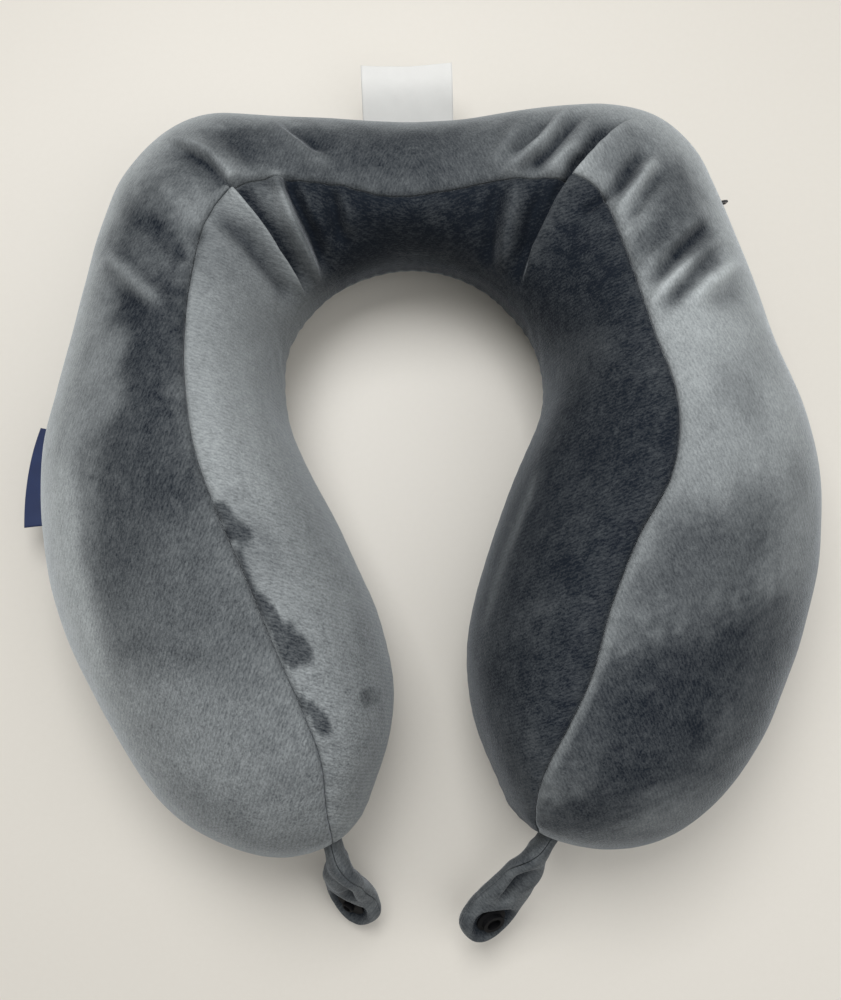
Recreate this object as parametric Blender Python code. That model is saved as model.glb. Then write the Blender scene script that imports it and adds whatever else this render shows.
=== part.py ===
"""U-shaped travel neck pillow: a foam core in a zipped plush cover, with two snap tabs.

The origin is on the flat base, under the middle of the back. +Y points to the back, the two lobes
point to -Y, and +Z is up. All sizes are in metres and all angles in degrees.
"""

import math

import bmesh
import bpy
import numpy as np
from mathutils import Matrix, Vector

# Plan of the right half: the corner points of the two outlines at the widest height, and the radius
# that rounds each corner. The left half is its mirror image.
BACK_OUTER_Y = 0.023
BACK_CORNER = (0.1085, 0.0315)
BACK_CORNER_RADIUS = 0.043
SIDE_CORNER = (0.159, -0.1465)
SIDE_CORNER_RADIUS = 0.135
LOBE_CORNER = (0.0895, -0.2785)
LOBE_CORNER_RADIUS = 0.055
BACK_INNER_Y = -0.0316
NECK_RADIUS = 0.0505
MOUTH_CORNER = (0.007, -0.1955)
MOUTH_CORNER_RADIUS = 0.092
NOSE_CORNER = (0.0285, -0.2503)
NOSE_CORNER_RADIUS = 0.021
TIP = (0.040, -0.257)

# Heights, and how the cross-section is shaped
BACK_HEIGHT = 0.084
LOBE_HEIGHT = 0.116
WIDEST_HEIGHT = 0.044
BASE_EDGE_OUTER = 0.022
BASE_EDGE_INNER = 0.020
RIDGE_SHARE_BACK = 0.30
RIDGE_SHARE_ARM = 0.45
RIDGE_SHARE_LOBE = 0.33
TIP_BLUNTNESS = 0.65
BASE_SEAM_ANGLE = 27.0

# Seams and the crease that crosses each back corner
SEAM_GAP = 0.0004
SEAM_DEPTH = 0.0014
SEAM_REACH = 0.006
CREASE_DEPTH = 0.0035
CREASE_REACH = 0.007

# Cover and core
COVER_THICKNESS = 0.0020
CORE_CLEARANCE = 0.0006

# Closing tabs
TAB_LENGTH = 0.0545
TAB_THICKNESS = 0.009
TAB_NECK_WIDTH = 0.017
TAB_END_WIDTH = 0.024
TAB_EDGE = 0.0006
TAB_INSET = 0.0006
TAB_CLEARANCE = 0.0006
LAYER_GAP = 0.0003
LEFT_TAB_SWING = -13.0
LEFT_TAB_DROOP = 78.0
LEFT_TAB_LEAN = 46.0
RIGHT_TAB_SWING = 10.0
RIGHT_TAB_DROOP = 46.0
RIGHT_TAB_LEAN = 46.0

# Snaps
SNAP_DIAMETER = 0.012
SNAP_FROM_END = 0.012
SNAP_SEAT = 0.0020
SNAP_CLEARANCE = 0.0003
SNAP_FLANGE = 0.0009
SNAP_HEIGHT = 0.0032
SNAP_DOME = 0.0016
STUD_RADIUS = 0.0025
POST_RADIUS = 0.0013

# Zipper
ZIP_LENGTH = 0.092
ZIP_FROM_CORNER = 0.0
ZIP_DEPTH = 0.0040
SLOT_HALF_WIDTH = 0.0045
TAPE_HALF_WIDTH = 0.0058
TAPE_THICKNESS = 0.0008
TOOTH_PITCH = 0.0026
TOOTH_LENGTH = 0.0009
TOOTH_REACH = 0.0010
TEETH_HALF_WIDTH = 0.0022
TEETH_THICKNESS = 0.0020
ZIP_CLEARANCE = 0.0003
STOP_LENGTH = 0.0020
SLIDER_LENGTH = 0.0090
SLIDER_WIDTH = 0.0080
SLIDER_PLATE = 0.0010
BRIDGE_WIDTH = 0.0016
BRIDGE_SPAN = 0.0052
BRIDGE_GAP = 0.0014
BRIDGE_BAR = 0.0010
PULL_LENGTH = 0.0170
PULL_EYE_WIDTH = 0.0048
PULL_END_WIDTH = 0.0040
PULL_THICKNESS = 0.0010
PULL_LEG = 0.0009
METAL_EDGE = 0.00015

# Labels
CARE_LABEL_X = -0.001
CARE_LABEL_WIDTH = 0.038
CARE_LABEL_REACH = 0.033
CARE_LABEL_RISE = 0.010
SIDE_LABEL_Y = -0.112
SIDE_LABEL_LENGTH = 0.036
SIDE_LABEL_REACH = 0.016
SIDE_LABEL_DROOP = 5.0
LABEL_THICKNESS = 0.0010
LABEL_CLEARANCE = 0.0004

# How finely the soft forms are drawn
HALF_STATIONS = 21
CREASE_STATIONS = 4
CREASE_SPREAD = 0.024
CLOSEST_STATIONS = 0.006
CORE_TIP_WIDTH = 0.042
LABEL_ROWS = 5
LABEL_STEPS = 8

# Where the two outlines are level with each other: the back, the corner, the widest part and the tip,
# as shares of the way along the half, and as shares of each outline's own length
LEVEL_MARKS = (0.0, 0.20, 0.58, 1.0)
OUTER_MARKS = (0.0, 0.215, 0.616, 1.0)
INNER_MARKS = (0.0, 0.168, 0.544, 1.0)
CORNER_LEVEL = LEVEL_MARKS[1]
WIDEST_LEVEL = LEVEL_MARKS[2]


def smoothstep(low, high, value):
    share = min(max((value - low) / (high - low), 0.0), 1.0)
    return share * share * (3.0 - 2.0 * share)


class Rail:
    """A plan curve of straight runs and arcs, read by the share of its length."""

    def __init__(self, points, radii):
        points = [np.array(p) for p in points]
        self.arc_ends = []
        track = [points[0]]
        for before, corner, after, radius in zip(points, points[1:], points[2:], radii):
            track += self.rounded(before, corner, after, radius)
        track.append(points[-1])
        self.track = np.array(track)
        steps = np.linalg.norm(np.diff(self.track, axis=0), axis=1)
        self.lengths = np.concatenate(([0.0], np.cumsum(steps)))

    def rounded(self, before, corner, after, radius):
        """Points of the arc that rounds one corner, every 2 degrees or so."""
        to_before = (before - corner) / np.linalg.norm(before - corner)
        to_after = (after - corner) / np.linalg.norm(after - corner)
        half = 0.5 * math.acos(np.dot(to_before, to_after))
        cut = radius / math.tan(half)
        start = corner + to_before * cut
        end = corner + to_after * cut
        bisector = (to_before + to_after) / np.linalg.norm(to_before + to_after)
        centre = corner + bisector * radius / math.sin(half)
        turn = math.pi - 2.0 * half
        side = np.sign(to_after[0] * to_before[1] - to_after[1] * to_before[0])
        self.arc_ends.append((start, end))
        arm = start - centre
        points = []
        count = max(3, round(math.degrees(turn) / 2.0))
        for step in range(count + 1):
            angle = side * turn * step / count
            cosine = math.cos(angle)
            sine = math.sin(angle)
            turned = np.array((arm[0] * cosine - arm[1] * sine, arm[0] * sine + arm[1] * cosine))
            points.append(centre + turned)
        return points

    def at(self, share):
        length = share * self.lengths[-1]
        return np.array([np.interp(length, self.lengths, self.track[:, axis]) for axis in (0, 1)])

    def heading(self, share):
        reach = 0.002
        step = self.at(min(share + reach, 1.0)) - self.at(max(share - reach, 0.0))
        return step / np.linalg.norm(step)


def neck_corner():
    """Where the back's inner line meets the line from the neck's round to the mouth."""
    centre = np.array((0.0, BACK_INNER_Y - NECK_RADIUS))
    to_mouth = np.array(MOUTH_CORNER) - centre
    leave = math.atan2(to_mouth[1], to_mouth[0])
    leave += math.acos(NECK_RADIUS / np.linalg.norm(to_mouth))
    return (NECK_RADIUS * math.tan(0.5 * (0.5 * math.pi - leave)), BACK_INNER_Y)


OUTER_RAIL = Rail(
    [(0.0, BACK_OUTER_Y), BACK_CORNER, SIDE_CORNER, LOBE_CORNER, TIP],
    [BACK_CORNER_RADIUS, SIDE_CORNER_RADIUS, LOBE_CORNER_RADIUS],
)
INNER_RAIL = Rail(
    [(0.0, BACK_INNER_Y), neck_corner(), MOUTH_CORNER, NOSE_CORNER, TIP],
    [NECK_RADIUS, MOUTH_CORNER_RADIUS, NOSE_CORNER_RADIUS],
)
OUTER_LEVEL = np.polyfit(LEVEL_MARKS, OUTER_MARKS, 3)
INNER_LEVEL = np.polyfit(LEVEL_MARKS, INNER_MARKS, 3)


def rail_points(level):
    """The outer and inner points of one cross-section, and the inward normal at each."""
    outer_share = float(np.clip(np.polyval(OUTER_LEVEL, level), 0.0, 1.0))
    inner_share = float(np.clip(np.polyval(INNER_LEVEL, level), 0.0, 1.0))
    outer_way = OUTER_RAIL.heading(outer_share)
    inner_way = INNER_RAIL.heading(inner_share)
    inward = np.array((outer_way[1], -outer_way[0]))
    outward = np.array((-inner_way[1], inner_way[0]))
    return OUTER_RAIL.at(outer_share), INNER_RAIL.at(inner_share), inward, outward


def width(level):
    outer, inner, _, _ = rail_points(level)
    return float(np.linalg.norm(outer - inner))


LOBE_WIDTH = max(width(WIDEST_LEVEL + step * 0.01) for step in range(15))
LOBE_LEVEL = max((WIDEST_LEVEL + step * 0.01 for step in range(15)), key=width)


def level_where_width(target):
    """How far along the half the lobe has narrowed to a given width, by halving."""
    low = LOBE_LEVEL
    high = 1.0
    for _ in range(50):
        middle = 0.5 * (low + high)
        if width(middle) > target:
            low = middle
        else:
            high = middle
    return low


TIP_OPENING = TAB_THICKNESS + 2.0 * TAB_CLEARANCE
TIP_LEVEL = level_where_width(TIP_OPENING)
CORE_TIP_LEVEL = level_where_width(CORE_TIP_WIDTH)


class Section:
    """One cross-section of the pillow. Its girth runs from 0 at the outer side, over the ridge at 1,
    the inner side at 2 and the inner edge of the flat at 3, to the outer edge of the flat at 4."""

    def __init__(self, level):
        self.side = -1.0 if level < 0.0 else 1.0
        self.level = abs(level)
        self.outer, self.inner, self.inward, self.outward = rail_points(self.level)
        grown = smoothstep(0.5 * CORNER_LEVEL, 0.9 * WIDEST_LEVEL, self.level)
        share = RIDGE_SHARE_BACK + (RIDGE_SHARE_ARM - RIDGE_SHARE_BACK) * grown
        lobe = smoothstep(0.7 * WIDEST_LEVEL, 1.2 * WIDEST_LEVEL, self.level)
        share += (RIDGE_SHARE_LOBE - RIDGE_SHARE_ARM) * lobe
        self.ridge = self.inner + (self.outer - self.inner) * share
        height = BACK_HEIGHT + (LOBE_HEIGHT - BACK_HEIGHT) * grown
        narrow = 1.0
        if self.level > LOBE_LEVEL:
            narrow = float(np.linalg.norm(self.outer - self.inner)) / LOBE_WIDTH
        cap = narrow ** TIP_BLUNTNESS
        self.top = WIDEST_HEIGHT + (height - WIDEST_HEIGHT) * cap
        self.floor = WIDEST_HEIGHT * (1.0 - cap)
        self.outer_edge = BASE_EDGE_OUTER * narrow
        self.inner_edge = BASE_EDGE_INNER * narrow

    def sunk(self, plan):
        """How far the top seam's valley and the corner crease press the top in, at a plan point."""
        from_seam = float(np.linalg.norm(plan - self.ridge))
        seam = SEAM_DEPTH * math.exp(-((from_seam / SEAM_REACH) ** 2))
        corner = rail_points(CORNER_LEVEL)
        half_length = 0.5 * (OUTER_RAIL.lengths[-1] + INNER_RAIL.lengths[-1])
        from_crease = (self.level - CORNER_LEVEL) * half_length
        reach = float(np.linalg.norm(corner[0] - corner[1]))
        middle = 1.0 - smoothstep(0.35 * reach, 0.62 * reach, from_seam)
        return seam + CREASE_DEPTH * middle * math.exp(-((from_crease / CREASE_REACH) ** 2))

    def point(self, girth):
        quarter = int(math.floor(girth)) % 5
        angle = 0.5 * math.pi * (girth - math.floor(girth))
        if quarter in (0, 1):
            rise = math.sin(angle) if quarter == 0 else math.cos(angle)
            out = math.cos(angle) if quarter == 0 else math.sin(angle)
            edge = self.outer if quarter == 0 else self.inner
            plan = self.ridge + (edge - self.ridge) * out
            z = WIDEST_HEIGHT + (self.top - WIDEST_HEIGHT) * rise - self.sunk(plan) * rise
        elif quarter == 2:
            plan = self.inner + self.outward * self.inner_edge * (1.0 - math.cos(angle))
            z = WIDEST_HEIGHT - (WIDEST_HEIGHT - self.floor) * math.sin(angle)
        elif quarter == 3:
            start = self.inner + self.outward * self.inner_edge
            end = self.outer + self.inward * self.outer_edge
            plan = start + (end - start) * (girth - math.floor(girth))
            z = self.floor
        else:
            plan = self.outer + self.inward * self.outer_edge * (1.0 - math.sin(angle))
            z = WIDEST_HEIGHT - (WIDEST_HEIGHT - self.floor) * math.cos(angle)
        return Vector((self.side * plan[0], plan[1], z))


BASE_SEAM_SHARE = BASE_SEAM_ANGLE / 90.0
TOP_SEAM = 1.0
INNER_BASE_SEAM = 2.0 + BASE_SEAM_SHARE
OUTER_BASE_SEAM = 5.0 - BASE_SEAM_SHARE


def skin(level, girth):
    return Section(level).point(girth)


def skin_normal(level, girth):
    """The outward normal, from small steps along and around the form."""
    step = 0.002
    along = skin(level + step, girth) - skin(level - step, girth)
    around = skin(level, girth + step) - skin(level, girth - step)
    return around.cross(along).normalized()


def stations(end_level):
    """Levels of the cross-sections from the left tip to the right tip, closer together at the creases."""
    half = [end_level * step / HALF_STATIONS for step in range(1, HALF_STATIONS + 1)]
    for step in range(CREASE_STATIONS + 1):
        level = CORNER_LEVEL + CREASE_SPREAD * (2.0 * step / CREASE_STATIONS - 1.0)
        half = [other for other in half if abs(other - level) > CLOSEST_STATIONS]
        half.append(level)
    half.sort()
    return [-level for level in reversed(half)] + [0.0] + half


def spread_girths(*runs):
    """Girths from even steps over each (start, end, count) run, with shared ends named once."""
    girths = [runs[0][0]]
    for start, end, count in runs:
        girths += [start + (end - start) * step / count for step in range(1, count + 1)]
    return girths


OUTER_GIRTHS = spread_girths((OUTER_BASE_SEAM - 5.0, 0.0, 3), (0.0, TOP_SEAM, 6))
NECK_GIRTHS = spread_girths((TOP_SEAM, 2.0, 5), (2.0, INNER_BASE_SEAM, 2))
BASE_GIRTHS = spread_girths((INNER_BASE_SEAM, 3.0, 2), (3.0, 4.0, 2), (4.0, OUTER_BASE_SEAM, 4))


def material(name, colour, roughness, metallic=0.0):
    made = bpy.data.materials.new(name)
    made.use_nodes = True
    shader = made.node_tree.nodes["Principled BSDF"]
    shader.inputs["Base Color"].default_value = (*colour, 1.0)
    shader.inputs["Roughness"].default_value = roughness
    shader.inputs["Metallic"].default_value = metallic
    return made


def add_object(name, mesh, finish, place=None, parent=None):
    """Link a mesh as a named object with its own material, placed by a world matrix."""
    made = bpy.data.objects.new(name, mesh)
    bpy.context.scene.collection.objects.link(made)
    if finish:
        mesh.materials.append(finish)
    if parent:
        made.parent = parent
        made.matrix_parent_inverse = parent.matrix_world.inverted()
    made.matrix_world = place or Matrix.Identity(4)
    return made


def finished(name, work, smooth=True):
    """Turn a bmesh into a mesh with its faces pointing out."""
    bmesh.ops.recalc_face_normals(work, faces=work.faces)
    mesh = bpy.data.meshes.new(name)
    work.to_mesh(mesh)
    work.free()
    if smooth:
        mesh.shade_smooth()
        mesh.set_sharp_from_angle(angle=math.radians(40.0))
    return mesh


def loft(name, rings, smooth=True):
    """A closed solid through rings of points that all have the same count, capped at both ends."""
    work = bmesh.new()
    loops = []
    for ring in rings:
        loops.append([work.verts.new(point) for point in ring])
    count = len(loops[0])
    for first, second in zip(loops, loops[1:]):
        for step in range(count):
            after = (step + 1) % count
            work.faces.new((first[step], first[after], second[after], second[step]))
    work.faces.new(reversed(loops[0]))
    work.faces.new(loops[-1])
    return finished(name, work, smooth)


def turned(name, profile, steps=20):
    """A solid of revolution about Z from a closed (radius, height) outline."""
    work = bmesh.new()
    outline = [work.verts.new((radius, 0.0, height)) for radius, height in profile]
    edges = [work.edges.new(pair) for pair in zip(outline, outline[1:])]
    if min(radius for radius, _ in profile) > 0.0:
        edges.append(work.edges.new((outline[-1], outline[0])))
    swept = {"geom": outline + edges, "steps": steps, "angle": 2.0 * math.pi, "use_merge": True}
    bmesh.ops.spin(work, axis=(0, 0, 1), cent=(0, 0, 0), **swept)
    bmesh.ops.remove_doubles(work, verts=work.verts, dist=1e-6)
    return finished(name, work)


def extruded(name, outline, low, high, bevel=0.0):
    """A prism along Z over an outline in X and Y, with its long edges eased if a bevel is given."""
    work = bmesh.new()
    base = work.faces.new([work.verts.new((x, y, low)) for x, y in outline])
    grown = bmesh.ops.extrude_face_region(work, geom=[base])
    top = [item for item in grown["geom"] if isinstance(item, bmesh.types.BMVert)]
    bmesh.ops.translate(work, verts=top, vec=(0.0, 0.0, high - low))
    if bevel:
        bmesh.ops.bevel(work, geom=work.edges, offset=bevel, segments=1, affect="EDGES")
    return finished(name, work, smooth=False)


def box(x_range, y_range):
    return [(x_range[0], y_range[0]), (x_range[1], y_range[0]), (x_range[1], y_range[1]), (x_range[0], y_range[1])]


def cut(target, cutter):
    """Keep a cutter in the file as a wire guide and take its shape out of the target."""
    cutter.hide_render = True
    cutter.display_type = "WIRE"
    boolean = target.modifiers.new("cut_" + cutter.name, "BOOLEAN")
    boolean.operation = "DIFFERENCE"
    boolean.solver = "EXACT"
    boolean.object = cutter


def joint_empty(name, place):
    made = bpy.data.objects.new(name, None)
    made.empty_display_size = 0.01
    made.matrix_world = place
    bpy.context.scene.collection.objects.link(made)
    return made


def place_matrix(origin, x_axis, y_axis, z_axis):
    columns = (Vector(x_axis), Vector(y_axis), Vector(z_axis), Vector(origin))
    rows = [[column[row] for column in columns] for row in range(3)]
    return Matrix(rows + [[0.0, 0.0, 0.0, 1.0]])


def seam_girth(section, girths, place):
    """A panel's girth at one of its columns, with half the seam gap left off at its two edges."""
    girth = girths[place]
    if 0 < place < len(girths) - 1:
        return girth
    step = 0.01 if place == 0 else -0.01
    pace = (section.point(girth + step) - section.point(girth)).length / abs(step)
    return girth + math.copysign(0.5 * SEAM_GAP / pace, step)


def shell(name, outer_rows, inner_rows):
    """A closed sheet between two grids of points, with a rim round its four sides."""
    work = bmesh.new()
    outer = [[work.verts.new(point) for point in row] for row in outer_rows]
    inner = [[work.verts.new(point) for point in row] for row in inner_rows]
    for grid in (outer, inner):
        for first, second in zip(grid, grid[1:]):
            for step in range(len(first) - 1):
                work.faces.new((first[step], first[step + 1], second[step + 1], second[step]))
    outer_rim = outer[0] + [row[-1] for row in outer[1:]] + outer[-1][-2::-1] + [row[0] for row in outer[-2:0:-1]]
    inner_rim = inner[0] + [row[-1] for row in inner[1:]] + inner[-1][-2::-1] + [row[0] for row in inner[-2:0:-1]]
    for step in range(len(outer_rim)):
        after = (step + 1) % len(outer_rim)
        work.faces.new((outer_rim[step], outer_rim[after], inner_rim[after], inner_rim[step]))
    return finished(name, work)


def cover_panel(name, girths, finish):
    """One sewn panel: a sheet of the outer form between two seams, with its thickness to the inside."""
    outer_rows = []
    inner_rows = []
    for level in stations(TIP_LEVEL):
        section = Section(level)
        row = [seam_girth(section, girths, place) for place in range(len(girths))]
        outer_rows.append([section.point(girth) for girth in row])
        inner_rows.append([section.point(girth) - skin_normal(level, girth) * COVER_THICKNESS for girth in row])
    return add_object(name, shell(name, outer_rows, inner_rows), finish)


def foam_core(finish):
    """The one-piece foam core: the cover's inner form, a clearance smaller."""
    girths = [girth % 5.0 for girth in OUTER_GIRTHS + NECK_GIRTHS[1:] + BASE_GIRTHS[1:-1]]
    inset = COVER_THICKNESS + CORE_CLEARANCE
    rings = []
    for level in [level for level in stations(TIP_LEVEL) if abs(level) <= CORE_TIP_LEVEL]:
        rings.append([skin(level, girth) - skin_normal(level, girth) * inset for girth in girths])
    return add_object("foam_core", loft("foam_core", rings), finish)


def zip_place():
    """World matrix of the zipper: X along the track to the open end, Z out of the cover, at the teeth."""
    corner_end = OUTER_RAIL.arc_ends[0][1]
    side_start = OUTER_RAIL.arc_ends[1][0]
    track = (side_start - corner_end) / np.linalg.norm(side_start - corner_end)
    inward = np.array((track[1], -track[0]))
    angle = math.radians(BASE_SEAM_ANGLE)
    plan = corner_end + track * (ZIP_FROM_CORNER + 0.5 * SLIDER_LENGTH)
    plan = plan + inward * BASE_EDGE_OUTER * (1.0 - math.cos(angle))
    level_out = math.cos(angle) / BASE_EDGE_OUTER
    level_up = -math.sin(angle) / WIDEST_HEIGHT
    normal = Vector((-inward[0] * level_out, -inward[1] * level_out, level_up)).normalized()
    along = Vector((track[0], track[1], 0.0))
    origin = Vector((plan[0], plan[1], WIDEST_HEIGHT * (1.0 - math.sin(angle)))) - normal * ZIP_DEPTH
    return place_matrix(origin, along, normal.cross(along), normal)


def zip_cuts(place, panels, core):
    """The slot between the two panels' edges, and the room behind it in the foam."""
    start = -0.5 * SLIDER_LENGTH - ZIP_CLEARANCE - STOP_LENGTH
    end = ZIP_LENGTH + STOP_LENGTH
    above = 3.0 * ZIP_DEPTH
    slot = extruded("zip_slot", box((start, end), (-SLOT_HALF_WIDTH, SLOT_HALF_WIDTH)), -0.5 * ZIP_DEPTH, above)
    slot_guide = add_object("zip_slot", slot, None, place)
    for panel in panels:
        cut(panel, slot_guide)
    room = TAPE_HALF_WIDTH + CORE_CLEARANCE
    low = -0.5 * TEETH_THICKNESS - CORE_CLEARANCE
    ends = (start - CORE_CLEARANCE, end + CORE_CLEARANCE)
    pocket = extruded("zip_pocket", box(ends, (-room, room)), low, above)
    cut(core, add_object("zip_pocket", pocket, None, place))


def zip_tape(name, side, place, finish):
    inner = TEETH_HALF_WIDTH + ZIP_CLEARANCE
    start = -0.5 * SLIDER_LENGTH - ZIP_CLEARANCE - STOP_LENGTH
    across = sorted((side * inner, side * TAPE_HALF_WIDTH))
    outline = box((start, ZIP_LENGTH + STOP_LENGTH), across)
    mesh = extruded(name, outline, -0.5 * TAPE_THICKNESS, 0.5 * TAPE_THICKNESS)
    add_object(name, mesh, finish, place)


def zip_teeth(name, side, place, finish):
    """One row of teeth as a comb, half a pitch off the other row, so that the two rows mesh."""
    root = TOOTH_REACH + ZIP_CLEARANCE
    first = -0.5 * SLIDER_LENGTH + (0.5 * TOOTH_PITCH if side > 0 else 0.0)
    count = int((ZIP_LENGTH - ZIP_CLEARANCE + 0.5 * SLIDER_LENGTH - 0.5 * TOOTH_PITCH) // TOOTH_PITCH)
    start = -0.5 * SLIDER_LENGTH
    outline = [(start, side * TEETH_HALF_WIDTH), (ZIP_LENGTH - ZIP_CLEARANCE, side * TEETH_HALF_WIDTH)]
    outline.append((ZIP_LENGTH - ZIP_CLEARANCE, side * root))
    for tooth in reversed(range(count)):
        low = first + tooth * TOOTH_PITCH + ZIP_CLEARANCE
        high = low + TOOTH_LENGTH
        outline += [(high, side * root), (high, -side * TOOTH_REACH)]
        outline += [(low, -side * TOOTH_REACH), (low, side * root)]
    outline.append((start, side * root))
    mesh = extruded(name, outline, -0.5 * TEETH_THICKNESS, 0.5 * TEETH_THICKNESS)
    add_object(name, mesh, finish, place)


def zip_stop(name, start, place, finish):
    outline = box((start, start + STOP_LENGTH), (-TEETH_HALF_WIDTH, TEETH_HALF_WIDTH))
    mesh = extruded(name, outline, -0.5 * TEETH_THICKNESS, 0.5 * TEETH_THICKNESS, bevel=0.15 * STOP_LENGTH)
    add_object(name, mesh, finish, place)


def zip_slider(place, parent, finish):
    """The slider: a plate over the teeth with a flange down each side and a bridge for the pull.
    Its cross-section across the track is extruded along it, and the bridge is joined on."""
    half = 0.5 * SLIDER_WIDTH
    flange = half - TEETH_HALF_WIDTH - ZIP_CLEARANCE
    low = 0.5 * TAPE_THICKNESS + ZIP_CLEARANCE
    under = 0.5 * TEETH_THICKNESS + ZIP_CLEARANCE
    top = under + SLIDER_PLATE
    outline = [(-half, low), (-half + flange, low), (-half + flange, under), (half - flange, under)]
    outline += [(half - flange, low), (half, low), (half, top), (-half, top)]
    body = extruded("zipper_slider", outline, -0.5 * SLIDER_LENGTH, 0.5 * SLIDER_LENGTH, METAL_EDGE)
    body.transform(Matrix(((0, 0, 1, 0), (1, 0, 0, 0), (0, 1, 0, 0), (0, 0, 0, 1))))
    slider = add_object("zipper_slider", body, finish, place, parent)
    span = 0.5 * BRIDGE_SPAN
    foot = span - BRIDGE_BAR
    sunk = top - 0.5 * SLIDER_PLATE
    arch = top + BRIDGE_GAP
    crown = arch + BRIDGE_BAR
    profile = [(-span, sunk), (-foot, sunk), (-foot, arch), (foot, arch), (foot, sunk), (span, sunk)]
    profile += [(span, crown), (-span, crown)]
    bridge = extruded("slider_bridge", profile, -0.5 * BRIDGE_WIDTH, 0.5 * BRIDGE_WIDTH, METAL_EDGE)
    bridge.transform(Matrix(((1, 0, 0, 0), (0, 0, 1, 0), (0, 1, 0, 0), (0, 0, 0, 1))))
    bridge.flip_normals()
    guide = add_object("slider_bridge", bridge, None, place, parent)
    guide.hide_render = True
    guide.display_type = "WIRE"
    join = slider.modifiers.new("bridge", "BOOLEAN")
    join.operation = "UNION"
    join.solver = "EXACT"
    join.object = guide


def pull_axis_height():
    return 0.5 * TEETH_THICKNESS + ZIP_CLEARANCE + SLIDER_PLATE + 0.5 * BRIDGE_GAP


def zip_pull(place, parent, finish):
    """The pull: a tapered plate whose eye goes round the slider's bridge, standing out from the cover."""
    eye = 0.5 * PULL_EYE_WIDTH
    end = 0.5 * PULL_END_WIDTH
    bar = 0.5 * PULL_LEG
    outline = [(-eye, -bar), (eye, -bar), (end, PULL_LENGTH - end), (0.6 * end, PULL_LENGTH)]
    outline += [(-0.6 * end, PULL_LENGTH), (-end, PULL_LENGTH - end)]
    plate = extruded("zipper_pull", outline, -0.5 * PULL_THICKNESS, 0.5 * PULL_THICKNESS, METAL_EDGE)
    stand = Matrix(((0, 0, 1, 0), (1, 0, 0, 0), (0, 1, 0, 0), (0, 0, 0, 1)))
    pull = add_object("zipper_pull", plate, finish, place @ stand, parent)
    bridge_corner = math.hypot(0.5 * BRIDGE_SPAN, 0.5 * BRIDGE_GAP + BRIDGE_BAR)
    window_top = bridge_corner + 0.5 * PULL_THICKNESS + ZIP_CLEARANCE
    window = box((-eye + PULL_LEG, eye - PULL_LEG), (bar, window_top))
    guide = extruded("pull_window", window, -PULL_THICKNESS, PULL_THICKNESS)
    cut(pull, add_object("pull_window", guide, None, place @ stand, parent))
    hole = turned("pull_hole", disc(0.3 * PULL_END_WIDTH, -PULL_THICKNESS, PULL_THICKNESS), 12)
    lift = Matrix.Translation((0.0, PULL_LENGTH - 1.1 * end, 0.0))
    cut(pull, add_object("pull_hole", hole, None, place @ stand @ lift, parent))


def disc(radius, low, high):
    return [(0.0, high), (radius, high), (radius, low), (0.0, low)]


def tip_place(side):
    """Where a tab leaves its lobe: the point, and the way out of the lobe in plan."""
    outer, inner, _, _ = rail_points(TIP_LEVEL)
    across = (outer - inner) / np.linalg.norm(outer - inner)
    out = Vector((side * across[1], -across[0], 0.0))
    middle = 0.5 * (outer + inner)
    section = Section(TIP_LEVEL)
    height = 0.5 * (section.top + section.floor)
    return Vector((side * middle[0], middle[1], height)), out


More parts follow.
